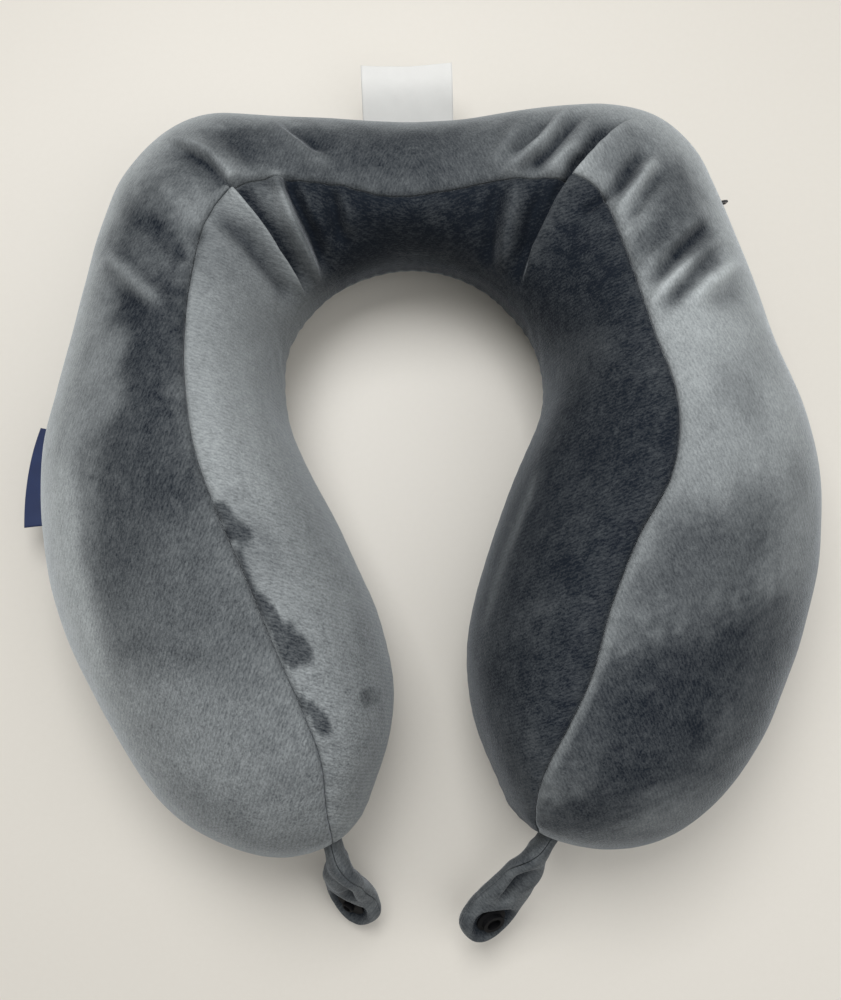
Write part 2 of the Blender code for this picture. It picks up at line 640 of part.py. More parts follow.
class Tab:
    """The run of one closing tab: a strip standing on edge that droops to the table and leans over."""

    def __init__(self, side, swing, droop, lean):
        tip, out = tip_place(side)
        self.hinge = tip + out * (0.5 * TAB_THICKNESS - TAB_INSET)
        out = Matrix.Rotation(-side * math.radians(swing), 3, "Z") @ out
        self.out = out
        self.face = Vector((-out.y, out.x, 0.0)) * side
        self.droop = math.radians(droop)
        self.lean = math.radians(lean)

    def slope(self, along):
        """Angle below level: level at the sewn end, steepest in the middle, easing off at the end."""
        share = min(max(along / TAB_LENGTH, 0.0), 1.0)
        return self.droop * math.sin(math.pi * min(share * 1.15, 0.80))

    def middle(self, along):
        """Centre of the strip, from small steps along its slope."""
        steps = 24
        reach = 0.0
        drop = 0.0
        for step in range(steps):
            angle = self.slope((step + 0.5) * along / steps)
            reach += math.cos(angle) * along / steps
            drop += math.sin(angle) * along / steps
        return self.hinge + self.out * reach - Vector((0.0, 0.0, drop))

    def axes(self, along):
        """The way along the strip, across its face and up its width."""
        angle = self.slope(along)
        way = self.out * math.cos(angle) - Vector((0.0, 0.0, math.sin(angle)))
        lean = self.lean * smoothstep(0.08 * TAB_LENGTH, 0.45 * TAB_LENGTH, along)
        upright = self.face.cross(way) * (1.0 if self.face.cross(way).z > 0.0 else -1.0)
        face = self.face * math.cos(lean) + upright * math.sin(lean)
        return way, face, upright * math.cos(lean) - self.face * math.sin(lean)

    def half_width(self, along):
        neck = 0.5 * TAB_NECK_WIDTH
        end = 0.5 * TAB_END_WIDTH
        wide = neck + (end - neck) * smoothstep(0.25 * TAB_LENGTH, 0.65 * TAB_LENGTH, along)
        past = along - (TAB_LENGTH - end)
        return wide if past <= 0.0 else math.sqrt(max(end * end - past * past, 0.0))

    def half_thickness(self, along):
        full = 0.5 * TAB_THICKNESS
        if along < 0.0:
            return math.sqrt(full * full - along * along)
        past = along - (TAB_LENGTH - full)
        return full if past <= 0.0 else math.sqrt(max(full * full - 0.75 * past * past, 0.0))

    def layer_ring(self, along, which):
        """Cross-section of one layer: a crowned outer face and a flat face against the other layer."""
        _, face, up = self.axes(along)
        centre = self.middle(along)
        half = self.half_width(along)
        near = 0.5 * LAYER_GAP
        thick = self.half_thickness(along) - near - TAB_EDGE
        ring = []
        for across in (-1.0, -0.85, -0.5, 0.0, 0.5, 0.85, 1.0):
            crown = near + TAB_EDGE + thick * math.sqrt(1.0 - across ** 4)
            ring.append(centre + up * half * across + face * which * crown)
        ring.append(centre + up * half + face * which * near)
        ring.append(centre - up * half + face * which * near)
        return ring

    def snap_place(self, which):
        """World matrix of a snap half: Z out of the layer's face, at the tab's middle surface."""
        along = TAB_LENGTH - SNAP_FROM_END
        way, face, _ = self.axes(along)
        out = face * which
        return place_matrix(self.middle(along), way, out.cross(way), out)


def tab_layer(name, tab, which, parent, finish):
    full = 0.5 * TAB_THICKNESS
    alongs = [-0.93 * full, -0.6 * full, 0.0, 0.12 * TAB_LENGTH, 0.25 * TAB_LENGTH, 0.38 * TAB_LENGTH]
    alongs += [0.50 * TAB_LENGTH, 0.62 * TAB_LENGTH, 0.74 * TAB_LENGTH, 0.85 * TAB_LENGTH]
    alongs += [0.92 * TAB_LENGTH, 0.97 * TAB_LENGTH, 0.99 * TAB_LENGTH]
    hinge = tab.hinge
    rings = []
    for along in alongs:
        rings.append([point - hinge for point in tab.layer_ring(along, which)])
    layer = add_object(name, loft(name, rings), finish, Matrix.Translation(hinge), parent)
    seat = turned(name + "_seat", disc(0.5 * SNAP_DIAMETER + SNAP_CLEARANCE, SNAP_SEAT, 2.0 * TAB_THICKNESS))
    cut(layer, add_object(name + "_seat", seat, None, tab.snap_place(which), parent))
    hole = turned(name + "_hole", disc(POST_RADIUS + SNAP_CLEARANCE, -TAB_THICKNESS, TAB_THICKNESS), 12)
    cut(layer, add_object(name + "_hole", hole, None, tab.snap_place(which), parent))


def snap_cap(name, tab, which, post_end, parent, finish):
    """The cap: a shallow dome on one face of the tab, with a post through both layers."""
    rim = 0.5 * SNAP_DIAMETER
    seat = SNAP_SEAT + SNAP_CLEARANCE
    top = seat + SNAP_DOME
    profile = [(0.0, top), (0.5 * rim, top - 0.1 * SNAP_DOME), (0.85 * rim, top - 0.4 * SNAP_DOME)]
    profile += [(rim, seat + 0.3 * SNAP_DOME), (0.95 * rim, seat), (POST_RADIUS, seat)]
    profile += [(POST_RADIUS, -post_end), (0.0, -post_end)]
    add_object(name, turned(name, profile), finish, tab.snap_place(which), parent)


def snap_socket(side_name, tab, which, parent, finish):
    """The socket: a ring whose bore takes the stud, on a flange that the post is riveted over."""
    rim = 0.5 * SNAP_DIAMETER
    seat = SNAP_SEAT + SNAP_CLEARANCE
    bore = STUD_RADIUS + SNAP_CLEARANCE
    hole = POST_RADIUS + SNAP_CLEARANCE
    wall = bore + 0.5 * (rim - bore)
    profile = [(hole, seat + SNAP_FLANGE), (bore, seat + SNAP_FLANGE), (bore, seat + SNAP_HEIGHT)]
    profile += [(wall, seat + SNAP_HEIGHT), (wall, seat + 1.6 * SNAP_FLANGE)]
    profile += [(rim, seat + 0.8 * SNAP_FLANGE), (rim, seat), (hole, seat)]
    name = side_name + "_snap_socket"
    add_object(name, turned(name, profile), finish, tab.snap_place(which), parent)


def snap_stud(side_name, tab, which, parent, finish):
    """The stud: a round boss that presses into the socket, on a flange that the post is riveted in."""
    rim = 0.5 * SNAP_DIAMETER
    seat = SNAP_SEAT + SNAP_CLEARANCE
    hole = POST_RADIUS + SNAP_CLEARANCE
    top = seat + SNAP_HEIGHT
    profile = [(hole, top), (0.8 * STUD_RADIUS, top), (STUD_RADIUS, top - 0.2 * STUD_RADIUS)]
    profile += [(0.9 * STUD_RADIUS, seat + SNAP_FLANGE), (rim, seat + 0.8 * SNAP_FLANGE)]
    profile += [(rim, seat), (hole, seat)]
    name = side_name + "_snap_stud"
    add_object(name, turned(name, profile), finish, tab.snap_place(which), parent)


def seam_point(level):
    """A point of the outer lower seam, and the way straight out of the cover there."""
    return skin(level, OUTER_BASE_SEAM), skin_normal(level, OUTER_BASE_SEAM)


def level_on_seam(axis, target, low, high):
    """The level at which the lower outer seam reaches a given X or Y, by halving."""
    rising = skin(high, OUTER_BASE_SEAM)[axis] > skin(low, OUTER_BASE_SEAM)[axis]
    for _ in range(40):
        middle = 0.5 * (low + high)
        if (skin(middle, OUTER_BASE_SEAM)[axis] < target) == rising:
            low = middle
        else:
            high = middle
    return low


class Label:
    """A folded strip sewn into the outer lower seam: its sewn edge follows the seam, and its profile
    runs out of the seam in X and up in Z of the label's own frame."""

    def __init__(self, level, length, tilt):
        self.level = level
        self.length = length
        _, normal = seam_point(level)
        flat = Vector((normal.x, normal.y, 0.0)).normalized()
        self.out = flat * math.cos(tilt) + Vector((0.0, 0.0, math.sin(tilt)))
        self.up = Vector((0.0, 0.0, math.cos(tilt))) - flat * math.sin(tilt)
        self.pace = (skin(level + 0.01, OUTER_BASE_SEAM) - skin(level - 0.01, OUTER_BASE_SEAM)).length / 0.02
        self.hinge = self.root(0.0)

    def root(self, along):
        point, normal = seam_point(self.level + along / self.pace)
        return point + normal * (LABEL_CLEARANCE + 0.5 * LABEL_THICKNESS)

    def build(self, name, profile, finish):
        work = bmesh.new()
        rows = []
        for step in range(LABEL_ROWS):
            root = self.root(self.length * (step / (LABEL_ROWS - 1) - 0.5)) - self.hinge
            rows.append([work.verts.new(root + self.out * x + self.up * z) for x, z in profile])
        for first, second in zip(rows, rows[1:]):
            for step in range(len(profile) - 1):
                work.faces.new((first[step], second[step], second[step + 1], first[step + 1]))
        mesh = bpy.data.meshes.new(name)
        work.to_mesh(mesh)
        work.free()
        mesh.shade_smooth()
        place = Matrix.Translation(self.hinge)
        label = add_object(name, mesh, finish, place, joint_empty(name + "_joint", place))
        thicken = label.modifiers.new("thickness", "SOLIDIFY")
        thicken.thickness = LABEL_THICKNESS
        thicken.offset = 0.0


def care_label(finish):
    """The white label at the back: it comes out level, turns up behind the back and folds outward."""
    level = level_on_seam(0, CARE_LABEL_X, -CORNER_LEVEL, CORNER_LEVEL)
    profile = []
    for step in range(LABEL_STEPS + 1):
        share = step / LABEL_STEPS
        profile.append((CARE_LABEL_REACH * share, CARE_LABEL_RISE * smoothstep(0.15, 0.85, share)))
    Label(level, CARE_LABEL_WIDTH, 0.0).build("care_label", profile, finish)


def side_label(finish):
    """The small navy label at the left side, drooping a little from the seam."""
    level = level_on_seam(1, SIDE_LABEL_Y, -LOBE_LEVEL, -CORNER_LEVEL)
    profile = [(0.0, 0.0), (0.5 * SIDE_LABEL_REACH, 0.0), (SIDE_LABEL_REACH, 0.0)]
    Label(level, SIDE_LABEL_LENGTH, -math.radians(SIDE_LABEL_DROOP)).build("side_label", profile, finish)


def zipper(panels, core):
    place = zip_place()
    zip_cuts(place, panels, core)
    tape = material("zip_tape", (0.10, 0.11, 0.14), 0.85)
    teeth = material("zip_teeth", (0.06, 0.065, 0.08), 0.45)
    metal = material("zip_metal", (0.16, 0.16, 0.17), 0.35, 1.0)
    zip_tape("zipper_tape_upper", -1.0, place, tape)
    zip_tape("zipper_tape_lower", 1.0, place, tape.copy())
    zip_teeth("zipper_teeth_upper", -1.0, place, teeth)
    zip_teeth("zipper_teeth_lower", 1.0, place, teeth.copy())
    nose = -0.5 * SLIDER_LENGTH - ZIP_CLEARANCE - STOP_LENGTH
    zip_stop("zipper_top_stop", nose, place, metal.copy())
    zip_stop("zipper_bottom_stop", ZIP_LENGTH, place, metal.copy())
    slider_joint = joint_empty("zipper_slider_joint", place)
    zip_slider(place, slider_joint, metal)
    pull_place = place @ Matrix.Translation((0.0, 0.0, pull_axis_height()))
    pull_joint = joint_empty("zipper_pull_joint", pull_place)
    zip_pull(pull_place, pull_joint, metal.copy())


def closing_tab(name, tab, plush, plastic):
    """A tab with its two layers and its snap. The snap's working half is on the outward face."""
    parent = joint_empty(name + "_tab_joint", Matrix.Translation(tab.hinge))
    tab_layer(name + "_tab_outer_layer", tab, 1.0, parent, plush.copy())
    tab_layer(name + "_tab_inner_layer", tab, -1.0, parent, plush.copy())
    seat = SNAP_SEAT + SNAP_CLEARANCE
    snap_cap(name + "_snap_cap", tab, -1.0, seat + 0.8 * SNAP_FLANGE, parent, plastic.copy())
    working_half = snap_stud if name == "left" else snap_socket
    working_half(name, tab, 1.0, parent, plastic.copy())


def main():
    for existing in list(bpy.data.objects):
        bpy.data.objects.remove(existing)
    plush = material("plush", (0.20, 0.22, 0.27), 0.95)
    foam = material("foam", (0.85, 0.80, 0.62), 0.95)
    plastic = material("snap_plastic", (0.02, 0.02, 0.02), 0.35)
    white = material("care_label", (0.85, 0.85, 0.83), 0.8)
    navy = material("side_label", (0.03, 0.06, 0.18), 0.7)
    core = foam_core(foam)
    outer = cover_panel("cover_outer_panel", OUTER_GIRTHS, plush)
    cover_panel("cover_neck_panel", NECK_GIRTHS, plush.copy())
    base = cover_panel("cover_base_panel", BASE_GIRTHS, plush.copy())
    zipper([outer, base], core)
    closing_tab("left", Tab(-1.0, LEFT_TAB_SWING, LEFT_TAB_DROOP, LEFT_TAB_LEAN), plush, plastic)
    closing_tab("right", Tab(1.0, RIGHT_TAB_SWING, RIGHT_TAB_DROOP, RIGHT_TAB_LEAN), plush, plastic)
    care_label(white)
    side_label(navy)


main()
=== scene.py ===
import math

import bpy
import numpy as np
from mathutils import Matrix, Vector, noise


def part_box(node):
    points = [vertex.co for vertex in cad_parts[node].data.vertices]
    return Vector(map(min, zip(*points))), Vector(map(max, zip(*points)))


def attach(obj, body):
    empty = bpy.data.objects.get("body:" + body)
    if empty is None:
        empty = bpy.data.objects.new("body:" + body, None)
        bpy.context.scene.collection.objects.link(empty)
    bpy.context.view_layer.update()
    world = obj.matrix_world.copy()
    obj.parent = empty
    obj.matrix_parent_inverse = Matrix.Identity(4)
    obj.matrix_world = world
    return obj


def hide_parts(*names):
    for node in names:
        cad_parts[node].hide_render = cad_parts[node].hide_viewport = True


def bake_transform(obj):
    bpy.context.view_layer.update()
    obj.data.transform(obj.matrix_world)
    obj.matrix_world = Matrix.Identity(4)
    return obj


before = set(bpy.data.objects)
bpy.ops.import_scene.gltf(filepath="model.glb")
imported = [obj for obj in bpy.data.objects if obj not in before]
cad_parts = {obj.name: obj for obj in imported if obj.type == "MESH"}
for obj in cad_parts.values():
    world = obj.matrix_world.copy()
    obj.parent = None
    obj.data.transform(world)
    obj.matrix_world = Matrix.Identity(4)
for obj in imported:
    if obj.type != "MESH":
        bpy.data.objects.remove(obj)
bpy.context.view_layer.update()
mm = 0.001      # the lines of slump, folds and the pile's tones, with their painted sheen and shade, are set in millimetres
upwards = np.array((0.0, 0.0, 1.0))
print("frame loaded:", len(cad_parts), "nodes")


# Small helpers for working on meshes

def ramp(low, high, value):
    share = np.clip((value - low) / (high - low), 0.0, 1.0)
    return share * share * (3.0 - 2.0 * share)


def smoothThrough(knots, places):
    # a smooth line through (place, value) knots, flat past both ends
    x = np.array([knot[0] for knot in knots])
    y = np.array([knot[1] for knot in knots])
    slopes = np.gradient(y, x)
    at = np.clip(places, x[0], x[-1])
    index = np.clip(np.searchsorted(x, at) - 1, 0, len(x) - 2)
    gap = x[index + 1] - x[index]
    t = (at - x[index]) / gap
    start = y[index] * (1 + 2 * t) * (1 - t) ** 2 + slopes[index] * gap * t * (1 - t) ** 2
    end = y[index + 1] * t ** 2 * (3 - 2 * t) + slopes[index + 1] * gap * t ** 2 * (t - 1)
    return start + end


def unit(vectors):
    return vectors / np.linalg.norm(vectors, axis=-1, keepdims=True)


def runningSum(steps):
    return np.concatenate((np.zeros_like(steps[..., :1]), np.cumsum(steps, axis=-1)), axis=-1)


def pointsOf(piece):
    flat = np.empty(len(piece.data.vertices) * 3)
    piece.data.vertices.foreach_get("co", flat)
    return flat.reshape(-1, 3)


def movePoints(piece, points):
    piece.data.vertices.foreach_set("co", np.ascontiguousarray(points).ravel())
    piece.data.update()


def writeValues(piece, name, values):
    layer = piece.data.attributes.get(name) or piece.data.attributes.new(name, "FLOAT", "POINT")
    layer.data.foreach_set("value", np.ascontiguousarray(values, dtype=np.float32).ravel())


def readValues(piece, name):
    values = np.empty(len(piece.data.vertices), dtype=np.float32)
    piece.data.attributes[name].data.foreach_get("value", values)
    return values.astype(float)


def uneven(points, size, detail):
    return np.array([noise.fractal(Vector(point) / size, 1.0, 2.0, detail) for point in points])


def useOnly(piece):
    bpy.ops.object.select_all(action="DESELECT")
    piece.select_set(True)
    bpy.context.view_layer.objects.active = piece


def applyModifier(piece, kind, **settings):
    useOnly(piece)
    added = piece.modifiers.new(kind.lower(), kind)
    for name, value in settings.items():
        setattr(added, name, value)
    bpy.ops.object.modifier_apply(modifier=added.name)


def subdivide(piece):
    applyModifier(piece, "SUBSURF", levels=1, render_levels=1, boundary_smooth="PRESERVE_CORNERS")


def clothGrid(name, points):
    # a grid primitive with its points laid out as rows and columns
    rows, columns = points.shape[:2]
    bpy.ops.object.select_all(action="DESELECT")
    bpy.ops.mesh.primitive_grid_add(x_subdivisions=columns - 1, y_subdivisions=rows - 1, size=1.0)
    piece = bpy.context.object
    piece.name = name
    piece.data.name = name
    movePoints(piece, points)
    bpy.ops.object.shade_smooth()
    return piece


def closeRing(piece):
    # joins the two long edges of a rolled grid and fills its ends
    useOnly(piece)
    bpy.ops.object.mode_set(mode="EDIT")
    bpy.ops.mesh.select_all(action="SELECT")
    bpy.ops.mesh.remove_doubles(threshold=0.000001)
    bpy.ops.mesh.select_all(action="DESELECT")
    bpy.ops.mesh.select_non_manifold()
    bpy.ops.mesh.edge_face_add()
    bpy.ops.mesh.select_all(action="SELECT")
    bpy.ops.mesh.normals_make_consistent(inside=False)
    bpy.ops.object.mode_set(mode="OBJECT")


def paint(piece, finish):
    piece.data.materials.clear()
    piece.data.materials.append(finish)


# Shader maths

class Wire:
    def __init__(self, finish, socket):
        self.finish = finish
        self.socket = socket

    def maths(self, operation, first, second):
        return self.finish.node("ShaderNodeMath", {"operation": operation}, {0: first, 1: second})

    def __add__(self, other):
        return self.maths("ADD", self, other)

    def __sub__(self, other):
        return self.maths("SUBTRACT", self, other)

    def __rsub__(self, other):
        return self.maths("SUBTRACT", other, self)

    def __mul__(self, other):
        return self.maths("MULTIPLY", self, other)

    def only(self, operation):
        return self.finish.node("ShaderNodeMath", {"operation": operation}, {0: self})

    def clipped(self):
        return self.finish.node("ShaderNodeClamp", {}, {"Value": self})


class Finish:
    def __init__(self, name):
        self.material = bpy.data.materials.new(name)
        self.material.use_nodes = True
        self.tree = self.material.node_tree
        self.shader = self.tree.nodes["Principled BSDF"]

    def node(self, kind, settings, inputs, output=0):
        made = self.tree.nodes.new(kind)
        for name, value in settings.items():
            setattr(made, name, value)
        for name, value in inputs.items():
            self.feed(made.inputs[name], value)
        return Wire(self, made.outputs[output])

    def feed(self, socket, value):
        if isinstance(value, Wire):
            self.tree.links.new(value.socket, socket)
        else:
            socket.default_value = value

    def set(self, **inputs):
        for name, value in inputs.items():
            self.feed(self.shader.inputs[name.replace("_", " ")], value)

    def place(self, turn=(0.0, 0.0, 0.0), scale=(1.0, 1.0, 1.0)):
        here = self.node("ShaderNodeTexCoord", {}, {}, "Object")
        return self.node("ShaderNodeMapping", {}, {"Vector": here, "Rotation": turn, "Scale": scale})

    def along(self, turn, stretch):
        # coordinates stretched along a turned direction, the same on both halves of the pillow
        here = self.node("ShaderNodeTexCoord", {}, {}, "Object")
        split = self.node("ShaderNodeSeparateXYZ", {}, {"Vector": here}, 0).socket.node
        x, y, z = [Wire(self, output) for output in split.outputs]
        inputs = {0: x.only("ABSOLUTE"), 1: y, 2: z}
        folded = self.node("ShaderNodeCombineXYZ", {}, inputs)
        inputs = {"Vector": folded, "Rotation": (0.0, 0.0, math.radians(turn)), "Scale": (1.0, stretch, 1.0)}
        return self.node("ShaderNodeMapping", {"vector_type": "TEXTURE"}, inputs)

    def value(self, name):
        return self.node("ShaderNodeAttribute", {"attribute_name": name}, {}, "Fac")

    def noise(self, place, scale, detail=2.0, roughness=0.5):
        inputs = {"Vector": place, "Scale": scale, "Detail": detail, "Roughness": roughness}
        return self.node("ShaderNodeTexNoise", {}, inputs, "Fac")

    def mix(self, share, first, second):
        inputs = {0: share, 6: (*first, 1.0) if isinstance(first, tuple) else first}
        inputs[7] = (*second, 1.0) if isinstance(second, tuple) else second
        return self.node("ShaderNodeMix", {"data_type": "RGBA"}, inputs, 2)

    def bump(self, height, distance, strength=1.0):
        return self.node("ShaderNodeBump", {}, {"Height": height, "Distance": distance, "Strength": strength})


# Plan and cross-sections of the pillow, in metres. The left half mirrors the right.
pillowForm = dict(
    outerCorners=[(0.0, 0.023), (0.1085, 0.0315), (0.159, -0.1465), (0.0895, -0.2785), (0.040, -0.257)],
    outerRounding=[0.043, 0.135, 0.055],
    innerBackY=-0.0316,
    neckRadius=0.0505,
    innerCorners=[(0.007, -0.1955), (0.0285, -0.2503), (0.040, -0.257)],
    innerRounding=[0.092, 0.021],
    levelMarks=(0.0, 0.20, 0.58, 1.0),   # back, corner, widest part and tip
    outerMarks=(0.0, 0.215, 0.616, 1.0),
    innerMarks=(0.0, 0.168, 0.544, 1.0),
    backHeight=0.084,
    lobeHeight=0.116,
    growth=(0.10, 0.522),   # levels between which the height grows
    widestHeight=0.044,
    baseEdgeOuter=0.022,
    baseEdgeInner=0.020,
    tipBluntness=0.65,
    baseSeamAngle=27.0,
    tipOpening=0.0102,
    seamGap=0.00026,
    seamValley=0.0018,     # broad hollow along the top seam
    seamReach=0.010,
)

# Where the top seam runs across the width, from the inner side: (level, share)
topSeam = dict(
    left=[(0.0, 0.248), (0.04, 0.245), (0.09, 0.335), (0.14, 0.415), (0.2, 0.475), (0.235, 0.452),
          (0.285, 0.404), (0.34, 0.386), (0.42, 0.376), (0.5, 0.353), (0.56, 0.335), (0.62, 0.323),
          (0.7, 0.322), (0.77, 0.305), (0.84, 0.283), (0.9, 0.3), (1.0, 0.35)],
    right=[(0.0, 0.248), (0.05, 0.3), (0.1, 0.38), (0.15, 0.425), (0.205, 0.465), (0.25, 0.41),
           (0.31, 0.384), (0.38, 0.4), (0.445, 0.45), (0.5, 0.453), (0.545, 0.432), (0.59, 0.38),
           (0.66, 0.353), (0.74, 0.345), (0.8, 0.3), (0.86, 0.24), (0.92, 0.2), (1.0, 0.25)],
)

# How the lying pillow is pushed out of its even form: (level, millimetres) away from each side's middle
slump = dict(
    leftOuter=[(0.0, -0.2), (0.12, 0.6), (0.18, -1), (0.24, -1.4), (0.28, 1), (0.31, 1.6), (0.36, 0.2),
               (0.42, -0.8), (0.48, -0.5), (0.54, -1.8), (0.6, -3.4), (0.66, -3.8), (0.72, -2.6),
               (0.77, -3.4), (0.81, -5), (0.86, -5.2), (0.91, -3.2), (0.95, -0.8), (1.0, 0)],
    leftInner=[(0.0, 0.6), (0.09, -1), (0.15, -2.6), (0.21, -3.6), (0.26, -4.6), (0.33, -3.7),
               (0.42, -3.8), (0.48, -3.8), (0.54, -2.9), (0.6, -2.3), (0.66, -2.3), (0.72, -1.8),
               (0.78, -0.6), (0.84, 0), (0.9, -0.4), (1.0, 0)],
    rightOuter=[(0.0, -0.2), (0.06, -0.9), (0.12, -0.4), (0.18, -1.1), (0.24, -1), (0.3, -0.2),
                (0.36, -0.6), (0.42, -0.6), (0.47, 0.9), (0.52, 1.8), (0.6, 2.3), (0.66, 2.2), (0.7, 3.4),
                (0.745, 4.6), (0.78, 3.2), (0.82, 1), (0.87, 0.6), (0.92, 0.6), (1.0, 0)],
    rightInner=[(0.0, 0.6), (0.06, 1.5), (0.12, 2.3), (0.21, 3.1), (0.27, 2.2), (0.36, 1.8), (0.45, 2.3),
                (0.54, 2.6), (0.6, 2.5), (0.66, 1.5), (0.72, 1), (0.78, 0.2), (0.9, 0.1), (1.0, 0)],
)


def roundedLine(corners, rounding):
    corners = [np.array(corner) for corner in corners]
    track = [corners[0]]
    for before, corner, after, radius in zip(corners, corners[1:], corners[2:], rounding):
        toBefore = unit(before - corner)
        toAfter = unit(after - corner)
        half = 0.5 * math.acos(toBefore @ toAfter)
        centre = corner + unit(toBefore + toAfter) * radius / math.sin(half)
        arm = corner + toBefore * radius / math.tan(half) - centre
        side = np.sign(toAfter[0] * toBefore[1] - toAfter[1] * toBefore[0])
        for turn in np.linspace(0.0, math.pi - 2.0 * half, 40) * side:
            x = arm[0] * math.cos(turn) - arm[1] * math.sin(turn)
            y = arm[0] * math.sin(turn) + arm[1] * math.cos(turn)
            track.append(centre + np.array((x, y)))
    track.append(corners[-1])
    track = np.array(track)
    return track, runningSum(np.linalg.norm(np.diff(track, axis=0), axis=1))


def neckStart(form):
    # where the straight back line meets the line from the round neck to the mouth
    centre = np.array((0.0, form["innerBackY"] - form["neckRadius"]))
    toMouth = np.array(form["innerCorners"][0]) - centre
    leave = math.atan2(toMouth[1], toMouth[0]) + math.acos(form["neckRadius"] / np.linalg.norm(toMouth))
    return (form["neckRadius"] * math.tan(0.5 * (0.5 * math.pi - leave)), form["innerBackY"])


outerLine = roundedLine(pillowForm["outerCorners"], pillowForm["outerRounding"])
innerLine = roundedLine(
    [(0.0, pillowForm["innerBackY"]), neckStart(pillowForm)] + pillowForm["innerCorners"],
    [pillowForm["neckRadius"]] + pillowForm["innerRounding"],
)
outerFit = np.polyfit(pillowForm["levelMarks"], pillowForm["outerMarks"], 3)
innerFit = np.polyfit(pillowForm["levelMarks"], pillowForm["innerMarks"], 3)
halfLength = 0.5 * (outerLine[1][-1] + innerLine[1][-1])


def alongLine(line, share):
    track, lengths = line
    at = np.clip(share, 0.0, 1.0) * lengths[-1]
    return np.stack([np.interp(at, lengths, track[:, axis]) for axis in (0, 1)], axis=-1)


def headingOf(line, share):
    half = 0.002
    return unit(alongLine(line, share + half) - alongLine(line, share - half))


def planEdges(reach):
    # outer and inner points of a cross-section, and the way into the pillow at each
    outerShare = np.clip(np.polyval(outerFit, reach), 0.0, 1.0)
    innerShare = np.clip(np.polyval(innerFit, reach), 0.0, 1.0)
    outerWay = headingOf(outerLine, outerShare)
    innerWay = headingOf(innerLine, innerShare)
    inward = np.stack((outerWay[..., 1], -outerWay[..., 0]), axis=-1)
    outward = np.stack((-innerWay[..., 1], innerWay[..., 0]), axis=-1)
    return alongLine(outerLine, outerShare), alongLine(innerLine, innerShare), inward, outward


def bySide(level, knots, what):
    reach = np.abs(level)
    left = smoothThrough(knots["left" + what], reach)
    right = smoothThrough(knots["right" + what], reach)
    return np.where(level < 0, left, right)


def widthAt(reach):
    outer, inner, _, _ = planEdges(reach)
    return np.linalg.norm(outer - inner, axis=-1)


# the widest section of a lobe, and the level of its open tip
lobeSearch = np.linspace(0.58, 0.72, 15)
lobeWidth = float(widthAt(lobeSearch).max())
lobeLevel = float(lobeSearch[widthAt(lobeSearch).argmax()])
tipSearch = np.linspace(lobeLevel, 1.0, 4001)
tipLevel = float(tipSearch[widthAt(tipSearch) > pillowForm["tipOpening"]].max())


def pillowSkin(level, girth):
    # girth runs from 0 at the outer side over the top seam at 1 to the inner side at 2,
    # and under the flat base from 3 to 4, back to the outer side at 5
    form = pillowForm
    reach = np.abs(level)
    outer, inner, inward, outward = planEdges(reach)
    narrow = np.where(reach > lobeLevel, np.linalg.norm(outer - inner, axis=-1) / lobeWidth, 1.0)
    outer = outer - inward * mm * bySide(level, slump, "Outer")[..., None]
    inner = inner - outward * mm * bySide(level, slump, "Inner")[..., None]
    ridge = inner + (outer - inner) * bySide(level, topSeam, "")[..., None]
    grown = ramp(*form["growth"], reach)
    height = form["backHeight"] + (form["lobeHeight"] - form["backHeight"]) * grown
    cap = narrow ** form["tipBluntness"]
    widest = form["widestHeight"]
    top = widest + (height - widest) * cap
    floor = widest * (1.0 - cap)
    quarter = np.floor(girth) % 5
    share = girth - np.floor(girth)
    turn = 0.5 * math.pi * share
    outerSide = quarter == 0
    rise = np.where(outerSide, np.sin(turn), np.cos(turn))
    stretch = np.where(outerSide, np.cos(turn), np.sin(turn))
    edge = np.where(outerSide[..., None], outer, inner)
    upperPlan = ridge + (edge - ridge) * stretch[..., None]
    fromSeam = np.linalg.norm(upperPlan - ridge, axis=-1)
    valley = form["seamValley"] * np.exp(-((fromSeam / form["seamReach"]) ** 2)) * narrow
    innerEdge = inner + outward * (form["baseEdgeInner"] * narrow)[..., None]
    outerEdge = outer + inward * (form["baseEdgeOuter"] * narrow)[..., None]
    innerPlan = inner + (innerEdge - inner) * (1.0 - np.cos(turn))[..., None]
    outerPlan = outer + (outerEdge - outer) * (1.0 - np.sin(turn))[..., None]
    flatPlan = innerEdge + (outerEdge - innerEdge) * share[..., None]
    plan = np.where((quarter < 2)[..., None], upperPlan, flatPlan)
    plan = np.where((quarter == 2)[..., None], innerPlan, plan)
    plan = np.where((quarter == 4)[..., None], outerPlan, plan)
    z = np.where(quarter < 2, widest + (top - widest - valley) * rise, floor)
    z = np.where(quarter == 2, widest - (widest - floor) * np.sin(turn), z)
    z = np.where(quarter == 4, widest - (widest - floor) * np.cos(turn), z)
    x = plan[..., 0] * np.where(level < 0, -1.0, 1.0)
    return np.stack((x, plan[..., 1], z), axis=-1)


def skinNormal(level, girth):
    step = 0.003
    along = pillowSkin(level + step, girth) - pillowSkin(level - step, girth)
    around = pillowSkin(level, girth + step) - pillowSkin(level, girth - step)
    return unit(np.cross(around, along))


baseSeamShare = pillowForm["baseSeamAngle"] / 90.0
innerBaseSeam = 2.0 + baseSeamShare
outerBaseSeam = 5.0 - baseSeamShare


# The zipper's slot in the lower seam of the right side, where two panels stand apart
zipSlot = dict(
    halfGap=0.0048,
    closing=0.0075,
    backEnd=(0.0016, 0.0004),     # where the edges start to part past each end of the tape, and are apart
    frontEnd=(0.0046, 0.0020),
)
tapeLow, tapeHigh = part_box("zipper_tape_lower")


